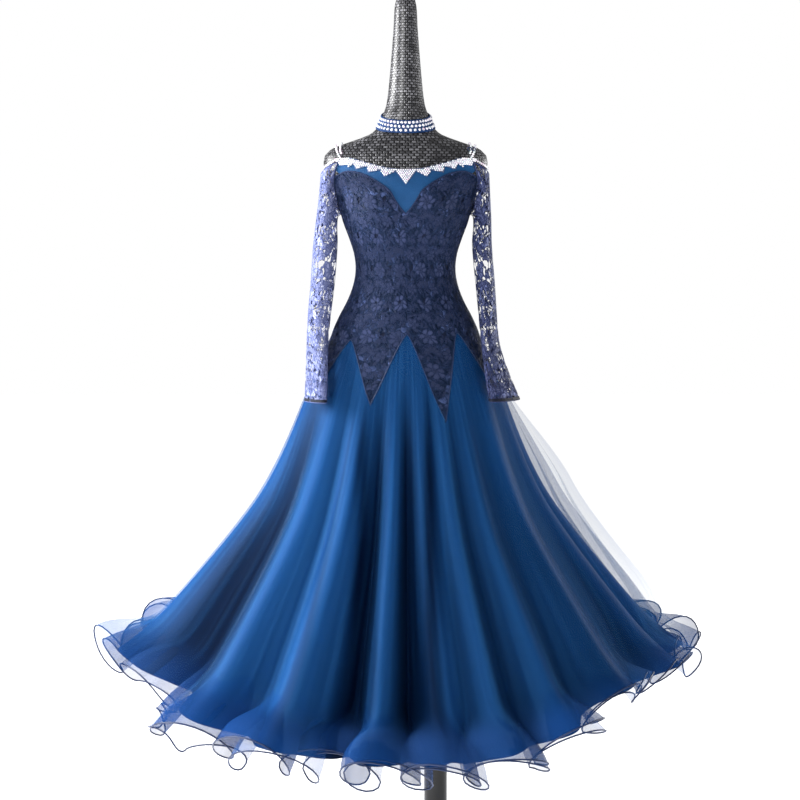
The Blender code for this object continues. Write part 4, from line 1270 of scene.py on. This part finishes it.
# %% Sleeves and cuffs
CUFF_ROW = 0.003
CUFF_PARTS = 24
cuff_finish = knit("Dark cuff band", (0.003, 0.005, 0.016), (0.010, 0.016, 0.045), 0.0010)
for word, table, side in (("left", SLEEVE_LEFT, -1), ("right", SLEEVE_RIGHT, 1)):
    bottom = table[-1][0]
    seam = SEAM_GAP / 2 / SLEEVE_WIDE
    for place, half in (("front", 1), ("back", -1)):
        ring = [(seam, bottom), (1.0 - seam, bottom), (1.0 - seam, SLEEVE_TOP_OUTER),
                (0.75, SLEEVE_TOP_OUTER + 0.010)]
        for k in range(8, 0, -1):
            height = UNDERARM + (SLEEVE_TOP_INNER - UNDERARM) * k / 8
            ring.append((armhole_share(height), height))
        ring.append((seam, UNDERARM - 0.004))
        outline = rounded([(share * SLEEVE_WIDE, height) for share, height in ring], 0.008)

        def surface(u, v, table=table, side=side, half=half):
            return sleeve_point(table, side, half, u / SLEEVE_WIDE, v)

        gaps = lace_gaps(outline, 0.007, LACE_GAPS + SMALL_GAPS)
        way = 1.0 if side * half > 0 else -1.0
        name = f"Sleeve_{word}_{place}"
        net, *worked_looks = SLEEVE_LOOKS[word]
        sheet = panel(name, outline, gaps, 0.006, surface, -MIDDLE * way, net, "lace")
        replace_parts(sheet, f"sleeve_{word}_{place}")
        worked = work_lace(name, outline, gaps, surface, -0.0003, *worked_looks, 0.4, way)
        spots = [(SLEEVE_WIDE * (0.01 + 0.98 * k / CUFF_PARTS), bottom + CUFF_ROW * r)
                 for r in range(3) for k in range(CUFF_PARTS + 1)]
        points = [at + out * (MIDDLE * way) for at, out in (lay(surface, spot) for spot in spots)]
        band = Heap()
        band.add(points, quads(2, CUFF_PARTS),
                 [(SLEEVE_WIDE * k / CUFF_PARTS, CUFF_ROW * r)
                  for r in range(3) for k in range(CUFF_PARTS + 1)])
        cuff = band.make(f"Cuff_{word}_{place}", cuff_finish, "lace")
        lace_sheets.append((sheet, (*worked, cuff)))

# %% [markdown]
# ## Godets
# A godet is a wedge of cloth let into the skirt: narrow at the arch, wide at the hem, so the
# hem stands in folds. Satin gives the colour and the depth of the folds. Over it lie two
# layers of organza, a crisp see-through cloth that stands off the satin and turns pale where
# nothing is behind it. Each layer is a grid that starts at the arch's top and widens down to
# the hem, and its points follow the folds' table, so that no fold is lost between them.

# %% Satin and organza
satin = Finish("Blue satin", Specular_IOR_Level=0.16)
satin.shader.inputs["Specular Tint"].default_value = (0.25, 0.55, 1.0, 1.0)
satin_slub = satin.noise(satin.cut(0.010, 0.15), 1.0, 3.0)
# The value kept on the mesh paints the satin dark in its fold valleys, which is painted shade, and
# light on its ridges, which is painted highlight.
satin_fold_light = satin.value("ridge") ** 1.4
satin.paint(
    Base_Color=satin.mix(satin_fold_light * 0.92 + satin_slub * 0.08, (0.0005, 0.0025, 0.014),
                         (0.008, 0.085, 0.330)),
    Roughness=satin_slub * 0.1 + 0.48)
satin.emboss(satin_slub, 0.0004)


def organza_finish(name, clear, solid, doubled, shade, lit, edge):
    """Organza: how solid it is where calm, in a fold, and where the frill doubles it."""
    finish = Finish(name, Roughness=0.75, Specular_IOR_Level=0.08)
    finish.shader.inputs["Specular Tint"].default_value = (0.4, 0.65, 1.0, 1.0)
    ridge = finish.value("ridge")
    hem = finish.value("hem")
    streak = finish.noise(finish.cut(0.012, 0.9), 1.0, 3.0).between(0.35, 0.75)
    # Its colour goes from painted shade in the folds' valleys to painted highlight on their ridges.
    cloth = finish.mix(ridge * 0.75 + streak * 0.25, shade, lit)
    finish.paint(Base_Color=finish.mix(hem * 0.8, cloth, edge),
                 Alpha=(streak * 0.4 + ridge * 0.6) * (solid - clear) + clear + hem * doubled)
    return finish


organza_under = organza_finish("Organza under layer", 0.14, 0.34, 0.36, (0.0005, 0.006, 0.040),
                               (0.014, 0.130, 0.480), (0.008, 0.055, 0.230))
organza_top = organza_finish("Organza top layer", 0.08, 0.24, 0.20, (0.001, 0.012, 0.070),
                             (0.065, 0.290, 0.680), (0.036, 0.115, 0.380))
hem_cord = Finish("Hem cord", Roughness=0.4)
hem_twist = hem_cord.waves(hem_cord.cut(0.0015, 0.0015), "DIAGONAL")
hem_cord.paint(Base_Color=hem_cord.mix(hem_twist, (0.003, 0.010, 0.045), (0.015, 0.045, 0.160)))

# %% Godet cloth
GODET_COLUMNS = 72
GODET_TOP_ROWS = 54
GODET_HEM_ROWS = 16
HEM_STARTS = 0.44
HEM_FLARE = 1.25      # the cut is wider at the hem than where the frill starts
CUT_RADIUS = 0.45     # lays a godet out flat, about half way down
CUT_STRETCH = 1.2
FRILLS = 32


def godet_grid(godet, hem_height, bumps):
    """Angle and height of each point of a godet, row by row from its arch to its hem."""
    left, right = (godet - 1) % len(SEAMS), godet % len(SEAMS)
    top = GODETS[godet][1] - 0.0004
    ends = [arch_edge(godet, seam, 0.3) for seam in (left, right)]
    heights = [top - (top - HEM_STARTS) * (k / GODET_TOP_ROWS) ** 1.15
               for k in range(GODET_TOP_ROWS)]
    rows = []
    for k in range(GODET_TOP_ROWS + GODET_HEM_ROWS + 1):
        row = []
        for j in range(GODET_COLUMNS + 1):
            share = j / GODET_COLUMNS
            if k < GODET_TOP_ROWS:
                height = heights[k]
            else:
                turn = ends[0] + (ends[1] - ends[0]) * share
                hem = hem_height + swell(turn, bumps)
                height = HEM_STARTS + (hem - HEM_STARTS) * (k - GODET_TOP_ROWS) / GODET_HEM_ROWS
            low, high = (arch_edge(godet, seam, height) for seam in (left, right))
            row.append((low + (high - low) * share, height))
        rows.append(row)
    return rows


def satin_point(angle, height):
    return dress_point(angle, height, 1.0)


HEM_OUT = 0.014       # how far the hem's curls reach out, to the side and up
HEM_CURL = 0.041
HEM_UP = 0.029
FRILL_START = 0.84    # how far down the frill begins, and over how much it grows
FRILL_GROWS = 0.17
RIPPLE = 0.0022       # fine waves above the frill, and how many go round
RIPPLES = 61.0
UNDER_RISE = 0.0035   # an under layer lies a little off the satin


def organza_layer(out_share, phase, waves):
    """The surface of one organza layer, from its share of the stand-off and its hem's waves."""
    def surface(angle, height):
        point = dress_point(angle, height, 0.8 - 0.4 * out_share)
        if height >= HIP_TOP:
            return point
        down = (HIP_TOP - height) / SKIRT_DROP
        bent = angle + 0.03 * math.sin(4 * angle + 0.7) + 0.02 * math.sin(7 * angle)
        turn = waves * bent + phase
        size = 0.85 + 0.25 * math.sin(3 * angle + phase) + 0.20 * math.sin(5 * angle + 2 * phase)
        grown = ease((down - FRILL_START) / FRILL_GROWS) ** 1.5 * size
        ripple = RIPPLE * ease((down - 0.2) / 0.6) * math.sin(RIPPLES * bent + 2.0 * phase)
        lift = out_share * (stand_off(angle, down) + ripple)
        lift += UNDER_RISE * (1.0 - out_share) * ease(down / 0.3)
        point += outwards(angle) * (lift + HEM_OUT * (1.0 + math.cos(turn)) * grown)
        along = Vector((math.cos(angle), math.sin(angle), 0.0))
        point += along * (HEM_CURL * math.sin(turn) * grown)
        point.z += HEM_UP * (1.0 + math.cos(turn + 0.5 * math.sin(3 * angle + 1.0))) * grown
        return point
    return surface


# Painted shade in the folds: angle at the hip and at the hem, half width in degrees, how far down
# it starts, and how deep the painted shade is; below 0 it is a painted highlight on a ridge
SHADES = (
    (-74.0, -67.0, 10.0, 0.40, 0.97), (-60.0, -54.0, 9.5, 0.38, 0.97),
    (-27.0, -13.0, 2.8, 0.08, 1.0), (-18.0, -8.0, 1.5, 0.15, 0.5),
    (0.6, 0.6, 3.1, 0.12, 1.0), (14.0, 6.5, 2.4, 0.06, 1.0), (24.0, 21.5, 1.8, 0.15, 0.5),
    (-36.0, -25.0, 1.6, 0.15, 0.45), (33.0, 37.0, 2.0, 0.10, 0.4), (46.0, 50.0, 3.0, 0.30, 0.4),
    (67.0, 67.0, 3.0, 0.50, 0.4), (-46.0, -44.0, 1.8, 0.10, -0.9), (-33.0, -30.0, 1.6, 0.10, -0.7),
    (-22.0, -19.0, 1.4, 0.20, -0.5), (19.0, 12.0, 1.4, 0.20, -0.4), (-6.0, -4.0, 1.8, 0.10, -0.4),
    (-47.0, -36.0, 7.0, 0.15, -0.55), (88.0, 88.0, 8.0, 0.05, -0.6),
)


CALM_LEVEL = 0.62     # at the hip, where there are no folds yet


def painted_fold_light(angle, down):
    """Painted shade and light on the folds: 0 in a valley, painted darkest, 1 on a ridge, painted
    lightest.
    """
    grown = ease((down - 0.03) / 0.4)
    level = 0.5 + 0.42 * fold_wave(angle) + 12.0 * crease(angle, down)
    level = max(0.0, min(1.0, CALM_LEVEL + (level - CALM_LEVEL) * grown))
    for hip, hem, spread, start, depth in SHADES:
        away = apart(angle, hip + (hem - hip) * min(1.0, down * 1.3)) / spread
        depth *= math.exp(-away * away) * ease((down - start) / 0.3)
        level = level * (1.0 - depth) if depth > 0.0 else level - depth * (1.0 - level)
    return level


def godet_cloth(name, godet, grid, surface, lift, finish, node, slot):
    """One layer of one godet, with its edge at the hem and its flat size."""
    flat = [spot for row in grid for spot in row]
    points = [surface(*spot) + normal_at(surface, *spot) * lift for spot in flat]
    wide = GODET_COLUMNS + 1
    faces = [face[::-1] for face in quads(len(grid) - 1, GODET_COLUMNS)]
    middle = math.radians(GODETS[godet][0])
    cut = [((angle - middle) * CUT_RADIUS, height * CUT_STRETCH) for angle, height in flat]
    downs = [(HIP_TOP - height) / SKIRT_DROP for angle, height in flat]
    values = {"ridge": [painted_fold_light(angle, down) for (angle, height), down in zip(flat, downs)],
              "hem": [ease((down - 0.86) / 0.14) for down in downs]}
    made = piece(name, points, faces, finish, cut, values, slot)
    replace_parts(made, node)
    long = max(sum((b - a).length for a, b in zip(points[k::wide], points[k + wide::wide]))
               for k in range(0, wide, 6))
    calm = points[-wide * GODET_HEM_ROWS:][:wide]
    across = sum((b - a).length for a, b in zip(calm, calm[1:]))
    return made, points[-wide:], (HEM_FLARE * across, long)


LAYERS = (
    # name, surface, lift, finish, slot, height of the hem, its longer and shorter places
    ("Satin", satin_point, LAYER_1 + MIDDLE, satin, "satin", 0.352, BOTH_HEMS),
    ("Organza_under", organza_layer(0.45, 2.1, 29), LAYER_2, organza_under, "organza", 0.346,
     BOTH_HEMS + ORGANZA_CUT),
    ("Organza_top", organza_layer(1.0, 1.3, FRILLS), LAYER_2 + 0.0008, organza_top, "organza",
     0.340, BOTH_HEMS + ORGANZA_CUT),
)
for word, surface, lift, finish, slot, hem, bumps in LAYERS:
    for godet in range(len(GODETS)):
        grid = godet_grid(godet, hem, bumps)
        made, edge, size = godet_cloth(f"{word}_godet_{godet + 1}", godet, grid, surface, lift,
                                       finish, f"{slot}_godet_{godet + 1}", slot)
        cord = Heap()
        cord.thread(edge, 0.0016 if slot == "organza" else 0.0008)
        rim = cord.make(f"{word}_hem_{godet + 1}", hem_cord, slot)
        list(size)
    print(word, "godets done")

# %% [markdown]
# ## Seams and edges
# A thin dark cord covers each seam where a godet's arch meets the lace, and the armholes.

# %% Piping
piping = Heap()


def piped(line, lift, radius):
    piping.thread([at + out * lift for at, out in (lay(dress_point, spot) for spot in line)],
                  radius)


for godet in range(len(GODETS)):
    top = GODETS[godet][1]
    for seam in ((godet - 1) % len(SEAMS), godet % len(SEAMS)):
        drop = top - SEAMS[seam][1]
        line = []
        for k in range(25):
            height = top - 0.0005 - (drop - 0.0005) * (k / 24) ** 1.6
            line.append((arch_edge(godet, seam, height), height))
        piped(line, LAYER_2 + 0.0010, 0.0009)
for side in (-1, 1):
    for middle in (0.0, math.pi):
        turn = side if middle == 0.0 else -side
        line = [(middle + turn * math.radians(degrees), height)
                for height, degrees in smooth(ARMHOLE, 4)]
        piped(line, LAYER_2 + 0.0006, 0.0014)
piping.make("Seam_piping", hem_cord, "lace")

# %% [markdown]
# ## Stones
# The neck edge, choker and straps are set with cut glass stones. Each is a low eight-sided
# gem: a flat table, sloping facets and a girdle. Every facet gets its own painted reflection,
# from dark to rainbow pale, and glows a little, which is painted light: that is what makes a
# still picture of such stones sparkle.
# Hundreds of them go in one mesh. The straps' stones sit on silvery threads.

# %% Stone finish
stone = Finish("Cut stones", Roughness=0.12, Metallic=0.1, Coat_Weight=0.8,
               Specular_IOR_Level=0.8, Emission_Strength=0.45)
facet = stone.node("ShaderNodeAttribute", {"attribute_name": "facet"}, (), 2)
# Each facet is painted a reflection, dark, white or rainbow pale, and glows in it: painted light.
facet_light = stone.mix(facet.between(0.10, 0.35), (0.10, 0.12, 0.22), (0.95, 0.93, 0.96))
sparkle = stone.mix(facet.between(0.72, 1.0), facet_light, stone.mix(
    stone.value("tint"), (0.95, 0.50, 0.78), (0.50, 0.95, 0.86)))
stone.paint(Base_Color=sparkle, Emission_Color=sparkle)
metal = Finish("Stone cups", Metallic=1.0)
metal_grain = metal.noise(metal.node("ShaderNodeTexCoord", {}, (), 3), 900.0)
metal.paint(Roughness=metal_grain * 0.3 + 0.2,
            Base_Color=metal.mix(metal_grain, (0.50, 0.50, 0.54), (0.85, 0.86, 0.90)))
chance = random.Random(7)


class Stones(Heap):
    """Gems set one by one."""

    def __init__(self):
        super().__init__()
        self.facets = []

    def set(self, at, out, size, dark=0.0):
        """Dark above 0 gives more dark facets, below 0 fewer."""
        side = out.orthogonal().normalized()
        spin = chance.random() * math.pi
        side = side * math.cos(spin) + out.cross(side) * math.sin(spin)
        up = out.cross(side)
        points = []
        for radius, height, shift in ((0.50, 0.0, 0.0), (0.50, 0.20, 0.0), (0.27, 0.42, 0.5)):
            for k in range(8):
                a = 2.0 * math.pi * (k + shift) / 8
                points.append(at + (side * math.cos(a) + up * math.sin(a)) * (radius * size)
                              + out * (height * size))
        faces = []
        for k in range(8):
            j = (k + 1) % 8
            faces.append((k, j, 8 + j, 8 + k))
            faces.append((8 + k, 8 + j, 16 + k))
            faces.append((8 + j, 16 + j, 16 + k))
        faces.append(tuple(range(16, 24)))
        self.add(points, faces, None, chance.random())
        self.facets += [max(0.0, min(1.0, chance.random() - dark)) for face in faces[:-1]]
        self.facets.append(0.45 + 0.55 * chance.random())

    def finish_off(self, name, slot):
        made = self.make(name, stone, slot, smooth=False)
        made.data.attributes.new("facet", "FLOAT", "FACE").data.foreach_set("value", self.facets)
        return made


def spaced(laid, step):
    """Laid places at even distances along a line."""
    out = []
    due = 0.0
    for (a, n), (b, m) in zip(laid, laid[1:]):
        long = (b - a).length
        while due <= long:
            share = due / long
            out.append((a.lerp(b, share), n.lerp(m, share).normalized()))
            due += step
        due -= long
    return out


# %% Choker
CHOKER_TOP = 1.6045
CHOKER_TILT = 0.017
CHOKER_HIGH = 0.027
CHOKER_LIFT = 0.0038    # the band's outer face
CHOKER_PARTS = 96
CHOKER_STONES = 46      # in each of three rows
band_finish = knit("Choker band", (0.006, 0.032, 0.120), (0.022, 0.080, 0.260), 0.0010)


def choker_spot(angle, part):
    return angle, CHOKER_TOP - CHOKER_TILT * math.cos(angle) - CHOKER_HIGH * part


ring = Heap()
profile = ((0.0, 0.0016), (0.0, 0.0034), (0.04, CHOKER_LIFT), (0.96, CHOKER_LIFT),
           (1.0, 0.0034), (1.0, 0.0016), (0.0, 0.0016))
points = []
cut = []
for k in range(CHOKER_PARTS + 1):
    angle = 2.0 * math.pi * k / CHOKER_PARTS
    for m, (part, lift) in enumerate(profile):
        at, out = lay(form_point, choker_spot(angle, part))
        points.append(at + out * lift)
        cut.append((angle * 0.052, CHOKER_HIGH * m / 5))
side = len(profile)
ring.add(points, [(k * side + m, (k + 1) * side + m, (k + 1) * side + m + 1, k * side + m + 1)
                  for k in range(CHOKER_PARTS) for m in range(side - 1)], cut)
choker = ring.make("Choker_band", band_finish, "band")
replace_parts(choker, "choker")
gems = Stones()
for row, part in enumerate((0.20, 0.50, 0.80)):
    for k in range(CHOKER_STONES):
        turn = 2.0 * math.pi * (k + 0.5 * (row % 2)) / CHOKER_STONES
        at, out = lay(form_point, choker_spot(turn, part))
        gems.set(at + out * CHOKER_LIFT, out, 0.0062, 0.05)
gems.finish_off("Choker_stones", "stones")

# %% Neck edge
top = [(angle_at(d, h - 0.001), h - 0.001) for d, h in smooth(FRONT_NECK[:-1], 4)]
points_below = [(angle_at(d, h), h) for d, h in TRIM_EDGE]
trim_cut = list(reversed(top)) + [(-a, h) for a, h in top[1:]]
trim_cut += [(-a, h) for a, h in reversed(points_below[:-1])] + points_below[1:-1]
trim_cut = [(a * FLAT_RADIUS, h) for a, h in trim_cut]
backing = Finish("Silver backing", Roughness=0.4, Metallic=0.3)
backing_grain = backing.noise(backing.cut(0.001, 0.001))
backing.paint(Base_Color=backing.mix(backing_grain, (0.05, 0.07, 0.16), (0.30, 0.34, 0.50)))
TRIM_LIFT = 0.0042
trim = panel("Neck_edge", trim_cut, [], 0.006, on_dress, TRIM_LIFT, backing, "stones")
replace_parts(trim, "neckline_trim")
gems = Stones()
PITCH = 0.0038
for j in range(round(1.440 / PITCH / 0.87), round(1.515 / PITCH / 0.87)):
    for i in range(-60, 61):
        spot = ((i + 0.5 * (j % 2)) * PITCH, j * PITCH * 0.87)
        if inside(spot, trim_cut) and distance_to(spot, trim_cut) > 0.0009:
            at, out = lay(on_dress, spot)
            gems.set(at + out * TRIM_LIFT, out, 0.0037, 0.03)
for side in (-1, 1):                                   # on to where the straps start
    for row in range(4):
        for k in range(8 - row):
            height = 1.5066 - 0.0036 * row
            turn = angle_at(0.1170 + 0.0038 * k + 0.0019 * (row % 2), height)
            at, out = lay(dress_point, (side * turn, height))
            gems.set(at + out * TRIM_LIFT, out, 0.0044, 0.04)
gems.finish_off("Neck_edge_stones", "stones")

# %% Straps and shoulder strands
def strung(lines, names, node, low, radius, step, high):
    """Threads along lines on the form, so far out, with stones on them, so far out and apart."""
    gems = Stones()
    thread = Heap()
    for laid in lines:
        thread.thread([at + out * low for at, out in laid], radius)
        for at, out in spaced(laid, step):
            gems.set(at + out * high, out, 0.0048, -0.15)
    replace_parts(gems.finish_off(names[0], "stones"), node)
    thread.make(names[1], metal, "stones")


def on_form(line, parts):
    return [lay(form_point, spot) for spot in smooth(line, parts)]


for word, side in (("left", -1), ("right", 1)):
    strands = [on_form([(side * math.radians(a), h + rise * r) for a, h, r in STRAP], 5)
               for rise in (-0.9, 0.9)]
    strung(strands, (f"Strap_stones_{word}", f"Strap_threads_{word}"), f"strap_{word}",
           0.0022, 0.0010, 0.0054, 0.0030)
    if side > 0:                                       # the small bow where this strap starts
        knot, out = strands[1][3]
        across = out.cross(Vector((0.0, 0.0, 1.0))).normalized()
        bow = Heap()
        for way in (-1.0, 1.0):
            loop = []
            for k in range(13):
                turn = 2.0 * math.pi * k / 12
                loop.append(knot + out * 0.006 + across * (way * 0.005 * (1.0 - math.cos(turn)))
                            + Vector((0.0, 0.0, 0.0032 * math.sin(turn))))
            bow.thread(loop, 0.0010)
        bow.make("Strap_bow", hem_cord, "stones")
    strung([on_form([(side * math.radians(a), h) for a, h in STRAND], 7)],
           (f"Shoulder_strand_stones_{word}", f"Shoulder_strand_thread_{word}"),
           f"shoulder_strand_{word}", 0.0020, 0.0011, 0.0052, 0.0028)

# %% [markdown]
# ## The names of the lace pieces
# The name of each lace piece is split into its kind and its place. A godet's width and length,
# found where it is made, are those of the rectangle that it comes out of.

# %% Cloth
for sheet, worked in lace_sheets:
    kind, place = sheet.name.split("_")[0], sheet.name.split("_")[-1]
